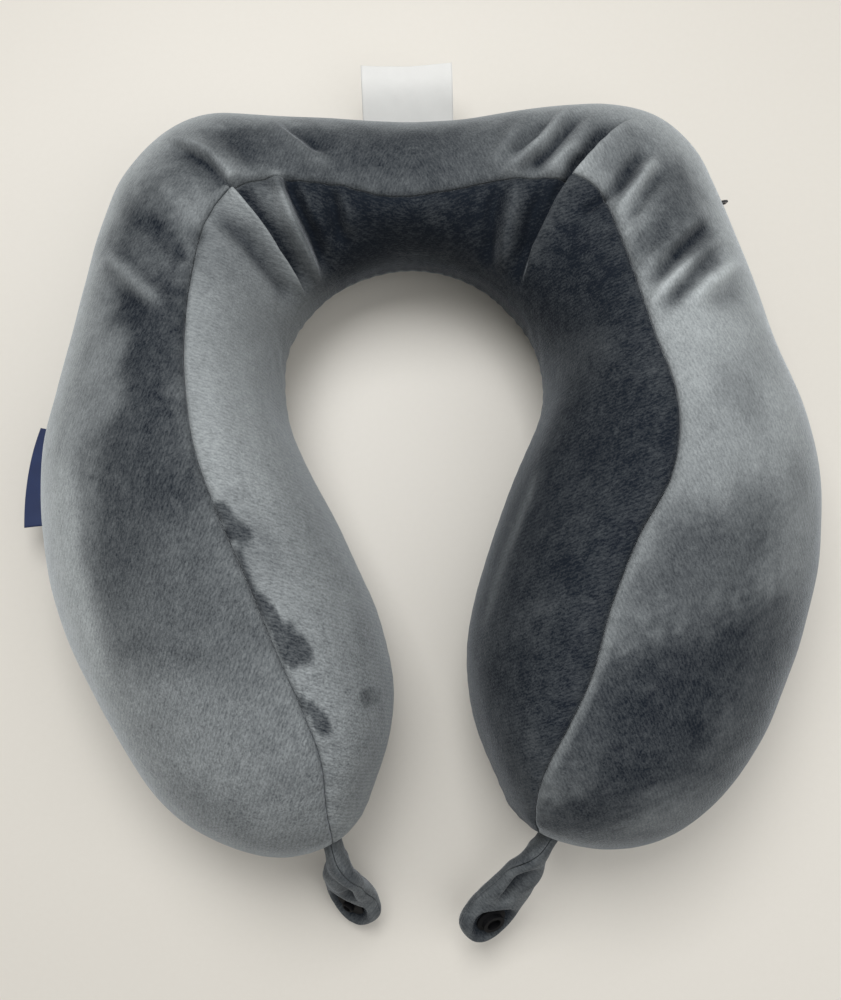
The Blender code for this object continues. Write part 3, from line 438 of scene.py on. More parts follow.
def slotGap(level):
    # half the gap between the outer and base panels along the lower outer seam
    seam = pillowSkin(level, np.full_like(level, outerBaseSeam))
    inside = ramp(tapeHigh[1] + zipSlot["closing"], tapeHigh[1], seam[..., 1])
    inside = inside * ramp(tapeLow[1] - zipSlot["closing"], tapeLow[1], seam[..., 1])
    inside = inside * (level > 0.0)
    return 0.5 * pillowForm["seamGap"] + (zipSlot["halfGap"] - 0.5 * pillowForm["seamGap"]) * inside


def closedGap(level):
    return np.full_like(level, 0.5 * pillowForm["seamGap"])


def sewnShut(level):
    # 1 where the turned-in edges of two panels meet, 0 along the zipper's tapes
    y = pillowSkin(level, np.full_like(level, outerBaseSeam))[..., 1]
    shut, apart = zipSlot["backEnd"]
    onTape = ramp(tapeHigh[1] + shut, tapeHigh[1] + apart, y)
    shut, apart = zipSlot["frontEnd"]
    onTape = onTape * ramp(tapeLow[1] - shut, tapeLow[1] - apart, y)
    return 1.0 - onTape * (level > 0.0)


# Folds of the plush: ridges, valleys and overlaps as lines in plan, (x, y) in millimetres.
# Height is up from the panel, width to one side. An overlap stands high on its line's left.
folds = [
    # left corner: the back laps over the outer panel, then a roll of the neck panel over a deep crease
    dict(line=[(-96, 12), (-88, 5), (-81, 1), (-76, -3), (-71, -9), (-66, -16)],
         height=4.2, width=6, overlap=1, trough=7.5, ease=(0.5, 0.06)),
    dict(line=[(-39, -53), (-44, -47), (-48, -42), (-55, -32), (-63, -21), (-70, -12)],
         height=6, width=3.6, overlap=1, trough=6, ease=(0.3, 0.06)),
    dict(line=[(-77, -21), (-72, -26), (-62, -35), (-54, -44), (-49, -50), (-43, -58)],
         height=-3.6, width=3.8),
    dict(line=[(-53, -6), (-51, -12), (-49, -19), (-46, -27), (-42, -35), (-37, -45), (-35, -50)],
         height=5.4, width=2.6, ease=(0.16, 0.3)),
    dict(line=[(-49, -9), (-47, -14), (-43, -23), (-39, -31), (-36, -38), (-32, -46)],
         height=-4.6, width=3, ease=(0.16, 0.3)),
    dict(line=[(-43, -10), (-40, -21), (-36, -31)], height=1.2, width=2.4),
    dict(line=[(-30, -8), (-28, -14), (-26, -21), (-24, -31)], height=1.8, width=2.6),
    dict(line=[(-34, -12), (-31, -21), (-28, -34)], height=-2.8, width=2.8),
    dict(line=[(-57, 21), (-50, 11), (-41, 1), (-29, -10)], height=2.8, width=3),
    dict(line=[(-52, 19), (-41, 7), (-33, -3)], height=-2.2, width=5),
    dict(line=[(-75, 18), (-64, 2), (-58, -10)], height=-2, width=6),
    dict(line=[(-96, -10), (-87, -22), (-77, -34)], height=1.8, width=3.4),
    dict(line=[(-93, -16), (-83, -29), (-76, -40)], height=-1.8, width=4),
    dict(line=[(-103, -22), (-90, -36), (-79, -48)], height=-1.8, width=5),
    dict(line=[(-120, -34), (-105, -49), (-97, -57), (-87, -66)], height=2.2, width=3.6),
    dict(line=[(-115, -50), (-103, -62), (-95, -71)], height=-1, width=6),
    # right corner: the outer panel laps over the back, with pleats to both sides of it
    dict(line=[(91, 15), (78, 7), (70, -1), (62, -9), (57, -16), (52, -23), (47, -32), (43, -39),
               (39, -52)], height=5.4, width=5.2, overlap=1.5, ease=(0.42, 0.24)),
    dict(line=[(79, 16), (68, 2), (56, -14)], height=-3, width=3.4),
    dict(line=[(66, 22), (55, 10), (49, 2), (41, -5), (30, -14)], height=4, width=2.6),
    dict(line=[(67, 19), (56, 5), (49, -4), (40, -13)], height=-3.8, width=3),
    dict(line=[(58, 17), (45, 3), (35, -7)], height=-2.6, width=3.6),
    dict(line=[(66, 1), (57, -5), (48, -13)], height=2.2, width=2.8),
    dict(line=[(42, 11), (34, -1), (27, -11)], height=2.2, width=3),
    dict(line=[(40, -10), (37.5, -20), (34.5, -32), (34, -46)], height=3.2, width=3.8),
    dict(line=[(32, -12), (29, -24), (27, -42)], height=-2.4, width=3),
    dict(line=[(50, -12), (44, -25), (40, -35), (37, -47)], height=-3.6, width=2.6),
    dict(line=[(73, -21.5), (66, -26), (60, -30)], height=-3.4, width=1.6),
    dict(line=[(92, 0), (81, -11), (75, -19), (69, -26)], height=-3.2, width=3.6),
    dict(line=[(93, -4), (87, -12), (82, -20), (78, -26), (72, -36)], height=3, width=2.6),
    dict(line=[(95, -10), (84, -23), (75, -37)], height=-1.8, width=3),
    dict(line=[(97, -17), (85, -31), (77, -41)], height=1.4, width=3.4),
    dict(line=[(109, -29), (93, -44), (80, -55)], height=2.2, width=2.6),
    dict(line=[(117, -29), (100, -42), (90, -52), (79, -64)], height=-3.4, width=3.4),
    dict(line=[(117, -37), (105, -47), (96, -55), (89, -62), (78, -72)], height=3.6, width=2.7),
    dict(line=[(118, -39), (105, -49), (95, -61), (83, -73)], height=-3.2, width=3.2),
    dict(line=[(123, -45), (110, -56), (101, -63), (90, -72)], height=3.2, width=3),
    dict(line=[(122, -56), (113, -64), (101, -73)], height=-1.4, width=4),
]


def nearLine(line, places):
    # signed distance of plan points from a line, and how far along it they lie
    line = np.array(line, dtype=float)
    best = np.full(len(places), np.inf)
    signed = np.zeros(len(places))
    along = np.zeros(len(places))
    lengths = np.linalg.norm(np.diff(line, axis=0), axis=1)
    done = 0.0
    for start, end, length in zip(line, line[1:], lengths):
        way = (end - start) / length
        arm = places - start
        t = np.clip(arm @ way, 0.0, length)
        distance = np.linalg.norm(arm - t[:, None] * way, axis=1)
        nearer = distance < best
        best = np.where(nearer, distance, best)
        left = way[0] * arm[:, 1] - way[1] * arm[:, 0] > 0
        signed = np.where(nearer, np.where(left, distance, -distance), signed)
        along = np.where(nearer, (done + t) / lengths.sum(), along)
        done += length
    return signed, along


foldForm = dict(ease=(0.36, 0.26), overrun=0.01, troughShare=0.7, troughDepth=0.8, lowest=-8.5, highest=6.8)


def foldHeight(places):
    total = np.zeros(len(places))
    for fold in folds:
        signed, along = nearLine(fold["line"], places)
        start, end = fold.get("ease", foldForm["ease"])
        taper = ramp(-foldForm["overrun"], start, along) * ramp(1.0 + foldForm["overrun"], 1.0 - end, along)
        width = fold["width"]
        if "overlap" in fold:
            step = ramp(-fold["overlap"], fold["overlap"], signed)
            lip = step * np.exp(-np.clip(signed, 0.0, None) / width)
            trough = fold.get("trough", foldForm["troughShare"] * width)
            profile = lip - foldForm["troughDepth"] * (1.0 - step) * np.exp(-((signed / trough) ** 2))
        else:
            profile = np.exp(-((signed / width) ** 2))
        total += fold["height"] * taper * profile
    return np.clip(total, foldForm["lowest"], foldForm["highest"])


# Cover panels
coverPanels = dict(
    thickness=0.0014,
    turnIn=0.0032,          # sewn edges turned into the seam
    cornerStep=0.0019,      # point spacing near the folded corners, before subdivision
    plainStep=0.0052,       # point spacing elsewhere
    corners=(0.035, 0.075, 0.33, 0.40),     # levels where the fine spacing starts, is full, and ends
    hem=((0.80, 0.0008), (0.62, 0.0026)),   # shrink and depth of the rows that close a tip
    lipDepth=0.0010,        # how far a sewn edge sinks
    lipReach=0.0013,
    lipPower=1.5,
    puckerHeight=0.00035,
    puckerPitch=0.0085,
    puckerReach=0.009,
    puckerRise=(0.010, 0.030),      # heights over which puckers come in
    wanderPace=31.0,
    wander=4.0,
    lump=0.0009,            # slow unevenness of the foam under the plush
    lumpSize=0.045,
    lumpFromSeam=0.012,
    lumpRise=(0.002, 0.020),
    foldRise=(0.046, 0.070),        # folds keep to the top of the pillow
    foldFacing=(0.10, 0.45),
    calmTip=0.03,           # levels without unevenness at each tip
    heldBelow=0.004,
    stiffness=2.0,
    pressure=4.0,
    frames=20,
    mostMove=0.005,
)


def panelLevels():
    start, full, fullEnd, end = coverPanels["corners"]
    marks = [0.0]
    while marks[-1] < tipLevel:
        corner = ramp(start, full, marks[-1]) * ramp(end, fullEnd, marks[-1])
        step = coverPanels["plainStep"] + (coverPanels["cornerStep"] - coverPanels["plainStep"]) * corner
        marks.append(marks[-1] + float(step) / halfLength)
    half = np.array(marks) * tipLevel / marks[-1]
    return np.concatenate((-half[:0:-1], half))


def inflate(piece, held):
    # presses the panel out from inside like a stuffed cover, with its sewn edges held
    start = pointsOf(piece)
    group = piece.vertex_groups.new(name="sewn")
    group.add([int(index) for index in np.flatnonzero(held)], 1.0, "REPLACE")
    cloth = piece.modifiers.new("cloth", "CLOTH")
    cloth.settings.vertex_group_mass = "sewn"
    cloth.settings.use_pressure = True
    cloth.settings.uniform_pressure_force = coverPanels["pressure"]
    cloth.settings.effector_weights.gravity = 0.0
    cloth.settings.bending_stiffness = coverPanels["stiffness"]
    cloth.collision_settings.use_collision = False
    cloth.point_cache.frame_start = 1
    cloth.point_cache.frame_end = coverPanels["frames"]
    for step in range(1, coverPanels["frames"] + 1):
        bpy.context.scene.frame_set(step)
    useOnly(piece)
    bpy.ops.object.modifier_apply(modifier=cloth.name)
    bpy.context.scene.frame_set(1)
    piece.vertex_groups.clear()
    move = pointsOf(piece) - start
    size = np.linalg.norm(move, axis=1, keepdims=True)
    movePoints(piece, start + move * np.minimum(1.0, coverPanels["mostMove"] / np.maximum(size, 1e-9)))
    print("  swelled by", round(1000 * float(size.mean()), 2), "mm on average")


def sewnEdge(level, girth, towards, gap):
    # a girth moved in from its seam by a gap, in metres along the skin
    step = 0.01
    moved = pillowSkin(level, girth + step * towards) - pillowSkin(level, girth)
    pace = np.linalg.norm(moved, axis=-1) / step
    return girth + towards * gap / pace


def tipMiddle(side):
    # the middle of a lobe's open tip, and the way out of it
    outer, inner, _, _ = planEdges(np.array([tipLevel]))
    across = unit(outer[0] - inner[0])
    middle = 0.5 * (outer[0] + inner[0])
    cap = (pillowForm["tipOpening"] / lobeWidth) ** pillowForm["tipBluntness"]
    widest = pillowForm["widestHeight"]
    z = widest + 0.5 * cap * (pillowForm["lobeHeight"] - 2.0 * widest)
    return np.array((side * middle[0], middle[1], z)), np.array((side * across[1], -across[0], 0.0))


def coverPanel(name, runs, lowEdge, highEdge):
    # runs lists girth marks and how many columns lie between them
    levels = panelLevels()
    low, high = runs[0][0], runs[-1][1]
    shares = [np.linspace(start, end, count, endpoint=False) for start, end, count in runs]
    shares = np.concatenate(shares + [[high]])
    lowGirth = sewnEdge(levels, np.full_like(levels, low), 1.0, lowEdge(levels))
    highGirth = sewnEdge(levels, np.full_like(levels, high), -1.0, highEdge(levels))
    girth = lowGirth[:, None] + (highGirth - lowGirth)[:, None] * ((shares - low) / (high - low))[None, :]
    level = np.repeat(levels[:, None], len(shares), axis=1)
    skin = pillowSkin(level, girth)
    inwards = -skinNormal(level, girth)
    arc = runningSum(np.linalg.norm(np.diff(skin, axis=1), axis=2))
    # sewn edges turn in and meet behind the seam
    meet = sewnShut(levels)[:, None]
    turned = []
    for column, seam in ((0, low), (-1, high)):
        edge = skin[:, column]
        sunk = coverPanels["turnIn"] * inwards[:, column]
        toSeam = pillowSkin(levels, np.full_like(levels, seam)) - edge
        turned += [(edge + sunk + meet * toSeam)[:, None], (edge + 0.5 * sunk)[:, None]]
    points = np.concatenate((turned[0], turned[1], skin, turned[3], turned[2]), axis=1)
    pad = ((0, 0), (2, 2))
    level = np.pad(level, pad, mode="edge")
    girth = np.pad(girth, pad, mode="edge")
    fromLow = np.pad(arc, pad, mode="edge")
    fromHigh = np.pad(arc[:, -1:] - arc, pad, mode="edge")
    # a hem closes each tip round the root of its tab
    rows = []
    for end, side in ((0, -1.0), (-1, 1.0)):
        middle, out = tipMiddle(side)
        ring = points[end] - middle
        rows.append(np.stack([middle + ring * shrink - out * depth for shrink, depth in coverPanels["hem"]]))
    points = np.concatenate((rows[0][::-1], points, rows[1]), axis=0)
    pad = ((2, 2), (0, 0))
    piece = clothGrid(name, points)
    for label, values in (("level", level), ("girth", girth), ("fromLow", fromLow), ("fromHigh", fromHigh)):
        writeValues(piece, label, np.pad(values, pad, mode="edge"))
    held = np.ones(points.shape[:2], dtype=bool)
    held[3:-3, 3:-3] = False
    held |= points[..., 2] < coverPanels["heldBelow"]
    inflate(piece, held.ravel())
    subdivide(piece)
    return piece


def dressPanel(piece, lowDrop, highDrop):
    # folds, sewn lips, puckers and unevenness, moved into the mesh
    settings = coverPanels
    points = pointsOf(piece)
    level = readValues(piece, "level")
    girth = readValues(piece, "girth")
    normals = skinNormal(level, girth)
    fromLow = readValues(piece, "fromLow")
    fromHigh = readValues(piece, "fromHigh")
    seamDistance = np.minimum(fromLow, fromHigh)
    writeValues(piece, "seamDistance", seamDistance)
    surface = pillowSkin(level, girth)
    topward = ramp(*settings["foldRise"], surface[:, 2]) * ramp(*settings["foldFacing"], normals[:, 2])
    height = mm * foldHeight(surface[:, :2] / mm) * topward
    writeValues(piece, "fold", height)
    wander = np.array([noise.noise(Vector((place, 4.0, 0.0))) for place in level * settings["wanderPace"]])
    phase = level * halfLength / settings["puckerPitch"] * 2.0 * math.pi + wander * settings["wander"]
    pucker = settings["puckerHeight"] * np.sin(phase) * np.exp(-seamDistance / settings["puckerReach"])
    lumps = uneven(surface, settings["lumpSize"], 2)
    soft = ramp(0.0, settings["lumpFromSeam"], seamDistance) * ramp(*settings["lumpRise"], surface[:, 2])
    height += pucker * ramp(*settings["puckerRise"], surface[:, 2]) + settings["lump"] * lumps * soft
    height *= ramp(tipLevel, tipLevel - settings["calmTip"], np.abs(level))
    moved = points + normals * height[:, None]
    outer, inner, _, _ = planEdges(np.abs(level))
    across = unit(outer - inner)
    side = np.where(level < 0, -1.0, 1.0)
    outwards = np.stack((across[:, 0] * side, across[:, 1], np.zeros(len(level))), axis=1)
    drops = {"down": -upwards, "outside": -outwards, "inside": outwards}
    for distance, way in ((fromLow, lowDrop), (fromHigh, highDrop)):
        sink = settings["lipDepth"] * np.exp(-((distance / settings["lipReach"]) ** settings["lipPower"]))
        moved = moved + sink[:, None] * drops[way]
    moved[:, 2] = np.maximum(moved[:, 2], 0.0)
    movePoints(piece, moved)


print("cover panels")
outerPanel = coverPanel("outerPanel", [(-baseSeamShare, 0.0, 7), (0.0, 1.0, 32)], slotGap, closedGap)
neckPanel = coverPanel("neckPanel", [(1.0, 2.0, 32), (2.0, innerBaseSeam, 5)], closedGap, closedGap)
basePanel = coverPanel(
    "basePanel", [(innerBaseSeam, 3.0, 5), (3.0, 4.0, 8), (4.0, outerBaseSeam, 6)], closedGap, slotGap
)
dressPanel(outerPanel, "outside", "down")
dressPanel(neckPanel, "down", "inside")
dressPanel(basePanel, "inside", "outside")


# Tone of the pile, painted into the colour: 0 dark, 1 light. It is partly the brushed pile and partly painted
# sheen and painted shade.
# Each mark is (x, y, half length, half width, turn, tone, weight), and streaks follow lines in plan, in
# millimetres.
pileSheenShadeMarks = dict(
    outerPanel=[
        (-105, -32, 20, 15, 90, 0.08, 0.92),
        (-95, -73, 36, 18, 84, 0.06, 0.96),
        (-97, -115, 21, 19, 90, 0.08, 0.92),
        (-113, -97, 11, 9, 60, 0.5, 0.8),
        (-111, -80, 10, 7, 60, 0.6, 0.7),
        (-91, -15, 12, 9, 30, 0.26, 0.8),
        (-97, -41, 12, 6, -45, 0.28, 0.6),
        (-92, -136, 25, 21, 20, 0.11, 0.92),
        (-103, -158, 17, 20, 0, 0.16, 0.88),
        (-81, -160, 22, 17, 60, 0.24, 0.85),
        (-97, -182, 23, 15, -30, 0.28, 0.85),
        (-70, -179, 21, 15, -60, 0.27, 0.85),
        (-60, -196, 11, 9, 0, 0.42, 0.7),
        (-88, -208, 23, 15, -30, 0.56, 0.8),
        (-79, -223, 21, 11, -25, 0.63, 0.8),
        (-48, -230, 8, 5, 0, 0.46, 0.7),
        (-53, -243, 15, 7, 10, 0.6, 0.7),
        # pale strips on the far left side: painted sheen where light grazes the pile
        (-127, -171, 9, 28, 10, 0.98, 0.85),
        (-131, -137, 9, 24, 0, 0.98, 0.85),
        (-62, 4, 22, 11, 0, 0.15, 0.85),
        (-35, -1, 22, 12, 0, 0.16, 0.88),
        (-18, 5, 18, 11, 0, 0.11, 0.88),
        (4, -1, 24, 13, 0, 0.13, 0.9),
        (27, -3, 18, 12, 0, 0.2, 0.85),
        (55, 2, 15, 6, 15, 0.5, 0.6),
        (88, 10, 13, 5, -20, 0.68, 0.8),
        (94, -22, 18, 14, 40, 0.15, 0.88),
        (79, -16, 6, 5, 45, 0.18, 0.7),
        (76, -5, 12, 7, 40, 0.24, 0.75),
        (99, -42, 13, 12, 40, 0.17, 0.85),
        (85, -44, 11, 7, 42, 0.14, 0.85),
        (104.5, -52.5, 8, 4, 45, 0.2, 0.7),
        (92, -66.5, 9, 3.5, 42, 0.24, 0.7),
        (98, -79, 21, 11, 10, 0.9, 0.95),
        (89, -96, 11, 13, 0, 0.84, 0.9),
        (112, -107, 12, 8, -30, 0.5, 0.75),
        (95, -121, 16, 10, 20, 0.72, 0.8),
        (127, -108, 10, 16, 0, 0.86, 0.8),
        (131, -134, 6, 12, 0, 0.42, 0.7),
        (97, -134, 16, 8, 0, 0.66, 0.7),
        (86, -149, 14, 10, 0, 0.3, 0.75),
        (111, -146, 15, 11, 30, 0.3, 0.75),
        (142, -151, 4, 10, 0, 0.55, 0.6),
        (92, -165, 34, 16, 20, 0.16, 0.85),
        (116, -184, 21, 11, 35, 0.14, 0.88),
        (96, -198, 34, 18, 25, 0.06, 0.97),
        (68, -211, 30, 21, 55, 0.06, 0.97),
        (74, -229, 30, 16, 25, 0.06, 0.95),
        (54, -208, 18, 9, 62, 0.1, 0.85),
        (46, -229, 11, 8, 60, 0.19, 0.8),
        (113, -208, 20, 13, 60, 0.1, 0.88),
        (101, -230, 16, 10, 30, 0.12, 0.85),
        (48, -247, 16, 8, 0, 0.08, 0.9),
        (76, -239, 10, 3, 15, 0.26, 0.7),
        (64, -255, 18, 3, 0, 0.18, 0.7),
    ],
    neckPanel=[
        (-62, -59, 22, 12, 70, 0.61, 0.95),
        (-61, -105, 33, 18, 80, 0.78, 0.95),
        (-48, -156, 33, 18, 60, 0.62, 0.95),
        (-29, -204, 33, 17, 80, 0.58, 0.95),
        (-58.5, -150, 12, 6, -62, 0.42, 0.7),
        (-70, -39, 18, 12, 60, 0.4, 0.82),
        (-57, -33, 5, 13, 45, 0.34, 0.75),
        (-68, -26, 5, 8, 30, 0.44, 0.7),
        (-52, -22, 5, 11, 65, 0.46, 0.7),
        (-41, -128, 16, 2, -62, 0.58, 0.7),
        (-65, -133, 4, 2, 0, 0.52, 0.7),
        (-11, -27, 22, 10, 0, 0.02, 0.97),
        (-32, -25, 10, 11, 80, 0.05, 0.95),
        (20, -26, 22, 11, 0, 0.03, 0.97),
        (42, -28, 11, 13, 70, 0.05, 0.95),
        (56, -47, 24, 18, 70, 0.03, 0.98),
        (64, -76, 26, 20, 80, 0.04, 0.98),
        (61, -89, 9, 15, 10, 0.15, 0.7),
        (64, -118, 28, 22, 80, 0.04, 0.98),
        (54, -149, 30, 24, 70, 0.05, 0.98),
        (37, -182, 12, 10, 0, 0.16, 0.8),
        (42, -199, 24, 22, 60, 0.05, 0.92),
        (29, -224, 12, 18, 20, 0.11, 0.85),
        (25, -243, 8, 9, 0, 0.15, 0.75),
    ],
    basePanel=[],
)
napCrisp = dict(
    outerPanel=[
        (-65, -191, 4, 3, -60, 0.34, 0.6),
    ],
    neckPanel=[
        (-68.6, -140.2, 6.2, 3.4, -48, 0.13, 0.95),
        (-64.3, -146.2, 5.6, 3.6, -20, 0.12, 0.95),
        (-53.2, -176.5, 10.5, 2.6, -62, 0.14, 0.92),
        (-45.8, -184.5, 7.8, 3.8, -62, 0.13, 0.95),
        (-48.8, -186.2, 6, 3, -60, 0.16, 0.9),
        (-43, -204.8, 4.2, 2.2, -28, 0.18, 0.92),
        (-39, -210.5, 5.8, 2.7, -66, 0.17, 0.95),
        (-22.8, -203, 3.8, 3, 60, 0.24, 0.8),
    ],
    basePanel=[],
)
pileSheenStreaks = dict(
    outerPanel=[
        # a painted highlight beside the top seam of the right lobe
        dict(line=[(81, -138), (72, -154), (65, -167), (60, -178), (55, -195), (48, -210), (43, -219),
                   (39, -227), (35, -238)], width=1.7, tone=0.6),
        dict(line=[(142, -185), (133, -203), (125, -218), (113, -226), (103, -231)],
             width=1.9, tone=0.44),
        dict(line=[(142, -71), (147, -80), (151, -91), (153, -99)], width=2.2, tone=0.36),
        # a painted highlight along a fold ridge on the left side
        dict(line=[(-116, -37), (-103, -52), (-91, -64)], width=2.6, tone=0.34),
        dict(line=[(75, -33), (85, -18), (92, -9)], width=2.2, tone=0.6),
    ],
    neckPanel=[
        dict(line=[(-65, -150), (-61, -163), (-56, -174)], width=1.5, tone=0.15),
        dict(line=[(-25, -162), (-21, -169), (-19, -176)], width=1.9, tone=0.24),
        dict(line=[(-15, -197), (-16, -212), (-19, -224), (-25, -233)], width=2.2, tone=0.36),
        dict(line=[(51, -78), (50, -88)], width=1.9, tone=0.3),
        dict(line=[(41, -122), (36, -135), (31, -146), (25, -160), (20, -176), (18, -184)],
             width=1.5, tone=0.36),
    ],
    basePanel=[],
)
# plain tone from the left tip round the back to the right tip: (level, tone), partly the pile and partly
# painted sheen and shade: light on the left of the neck panel, dark from its left corner round to the right
# tip
pileSheenShadeBase = dict(
    outerPanel=[(-1.0, 0.50), (-0.60, 0.46), (-0.18, 0.42), (-0.08, 0.22), (0.06, 0.24), (0.14, 0.42),
                (1.0, 0.44)],
    neckPanel=[(-1.0, 0.58), (-0.30, 0.64), (-0.23, 0.56), (-0.15, 0.10), (0.0, 0.02), (0.20, 0.05),
               (1.0, 0.08)],
    basePanel=[(-1.0, 0.52), (1.0, 0.52)],
)
# painted sheen and shade of the steep outer side, in the same way: pale along most of the left side and the
# right shoulder, dark on the right lobe
sideSheenShade = [(-1.0, 0.36), (-0.85, 0.50), (-0.66, 0.92), (-0.40, 1.00), (-0.16, 1.00), (-0.06, 0.62),
            (0.05, 0.66), (0.14, 0.98), (0.30, 0.94), (0.42, 0.80), (0.52, 0.56), (0.62, 0.24),
            (0.80, 0.14), (1.0, 0.16)]
pileSheenShadeForm = dict(
    broadSize=0.012,
    fibrousSize=0.0035,
    facing=(0.12, 0.45),            # marks fade out on the steep sides
    softEdge=(1.50, 0.45, 0.07),    # outside, inside and fray of a mark's edge
    crispEdge=(1.18, 0.80, 0.30),
    fibrousFray=0.12,
    streakStart=(-0.02, 0.12),      # shares of a streak's line where it comes in and goes out
    streakEnd=(1.02, 0.85),
    streakWeight=0.9,
    foldLightFull=0.0034,                # height at which a fold's painted highlight and shade are full
    foldLightShare=0.75,                 # ridges of the folds are painted light as a highlight, valleys painted dark as shade
    foldLightTone=0.06,
    overall=0.77,
    sideEdge=(0.64, 0.18),          # girths between which the side's painted sheen and shade take over
    sideFray=0.06,
    sideWeight=0.9,
    broadTone=0.02,
    fibrousTone=0.03,
)


# writes the nap attribute: tone of the pile with painted sheen and painted shade
def paintPileSheenShade(piece):
    form = pileSheenShadeForm
    points = pointsOf(piece)
    plan = points[:, :2] / mm
    level = readValues(piece, "level")
    girth = readValues(piece, "girth")
    value = smoothThrough(pileSheenShadeBase[piece.name], level)
    broad = uneven(points, form["broadSize"], 3)
    fibrous = uneven(points, form["fibrousSize"], 2)
    facing = ramp(*form["facing"], skinNormal(level, girth)[:, 2])
    for marks, edge in ((pileSheenShadeMarks, "softEdge"), (napCrisp, "crispEdge")):
        outside, inside, fray = form[edge]
        for x, y, half, side, turn, tone, weight in marks[piece.name]:
            arm = plan - np.array((x, y))
            way = np.array((math.cos(math.radians(turn)), math.sin(math.radians(turn))))
            along = arm @ way
            across = arm @ np.array((-way[1], way[0]))
            reach = np.hypot(along / half, across / side) + fray * broad + form["fibrousFray"] * fibrous
            share = weight * ramp(outside, inside, reach) * facing
            value = value * (1.0 - share) + tone * share
    for streak in pileSheenStreaks[piece.name]:
        signed, along = nearLine(streak["line"], plan)
        share = np.exp(-((signed / streak["width"]) ** 2)) * ramp(*form["streakStart"], along)
        share = form["streakWeight"] * share * ramp(*form["streakEnd"], along) * facing
        value = value * (1.0 - share) + streak["tone"] * share
    # painted highlight on the ridges of the folds and painted shade in their valleys
    foldHighlightShade = np.clip(readValues(piece, "fold") / form["foldLightFull"], -1.0, 1.0)
    value = form["overall"] * (value * (1.0 + form["foldLightShare"] * foldHighlightShade) + form["foldLightTone"] * foldHighlightShade)
    # painted sheen and shade on the steep outer side
    if piece.name == "outerPanel":
        top, side = form["sideEdge"]
        share = form["sideWeight"] * ramp(top + form["sideFray"] * broad, side, girth)
        value = value * (1.0 - share) + smoothThrough(sideSheenShade, level) * share
    value = value + form["broadTone"] * broad + form["fibrousTone"] * fibrous
    writeValues(piece, "nap", np.clip(value, 0.0, 1.0))


for panel in (outerPanel, neckPanel, basePanel):
    paintPileSheenShade(panel)
    applyModifier(panel, "SOLIDIFY", thickness=coverPanels["thickness"], offset=-1.0)
print("cover panels sewn")


# Foam core, clear of the folds of the cover
foamCore = dict(inset=0.0108, steps=90, columns=48, tipWidth=0.044)


def pillowCore():
    reach = tipSearch[widthAt(tipSearch) > foamCore["tipWidth"]].max()
    levels = np.linspace(-reach, reach, foamCore["steps"])
    girths = np.linspace(0.0, 5.0, foamCore["columns"] + 1)
    level, girth = np.meshgrid(levels, girths, indexing="ij")
    points = pillowSkin(level, girth) - skinNormal(level, girth) * foamCore["inset"]
    points[:, -1] = points[:, 0]
    piece = clothGrid("pillowCore", points)
    closeRing(piece)
    return piece


core = pillowCore()
print("foam core made")


# Closing tabs: two padded layers each, sewn round their edges, with a snap sunk into both faces
tabForm = dict(
    length=0.0545,
    thickness=0.009,
    neckWidth=0.017,
    endWidth=0.024,
    widening=(0.25, 0.65),  # shares of the length between which the strip widens
    inset=0.0006,           # how far the swing line sits in the tip
    layerGap=0.0003,
    puff=0.0007,            # how far the stuffed plush stands proud
    puffRun=(0.006, 0.016),
    crown=(2.8, 0.55),      # powers of the padded section
    endThinning=0.75,
    snapFromEnd=0.012,
    snapSeat=0.0019,        # from the middle of the tab to the floor of the dimple
    snapRadius=0.0066,
    seatSlope=0.0040,
    # painted shade in the snap's sunk seat
    seatShade=0.95,
    rimHeight=0.0006,       # puffed ring round the snap
    rimRadius=0.0096,
    rimWidth=0.0024,
    rootWidth=0.0215,       # fills the tip of the lobe
    rootThickness=0.0070,
    rootDepth=0.0046,
    rootRun=(0.004, -0.001),
    slitDepth=0.0042,       # hollow down the face, near the lobe
    slitUp=0.0030,
    slitWidth=0.0026,
    slitStart=(0.006, 0.013),
    slitEnd=(0.031, 0.025),
    # painted shade down the slit's hollow
    slitShade=0.75,
    wrinkle=0.0003,
    wrinklePace=160.0,
    leanFrom=0.02,          # shares of the length between which the strip turns over
    leanTo=0.26,
    bendPace=1.15,          # how soon the strip droops, and where it stays so
    bendEnd=0.80,
    rows=(6, 44, 14),       # rows of points in the root, the strap and the round end
    endFrom=0.90,
    endShare=0.0995,
    napTone=0.19,
    napSpread=0.12,
    napSize=0.010,
    blend=(-0.001, 0.010),  # from the hinge outwards: two distances along the tab; the points made from them are not used
    left=dict(side=-1.0, swing=-13.0, droop=78.0, lean=46.0),
    right=dict(side=1.0, swing=10.0, droop=46.0, lean=46.0),
)


def tabSlope(tab, along):
    share = np.clip(along / tabForm["length"], 0.0, 1.0)
    bend = np.minimum(share * tabForm["bendPace"], tabForm["bendEnd"])
    return math.radians(tab["droop"]) * np.sin(math.pi * bend)


def tabHinge(tab):
    middle, out = tipMiddle(tab["side"])
    return middle + out * (0.5 * tabForm["thickness"] - tabForm["inset"]), out


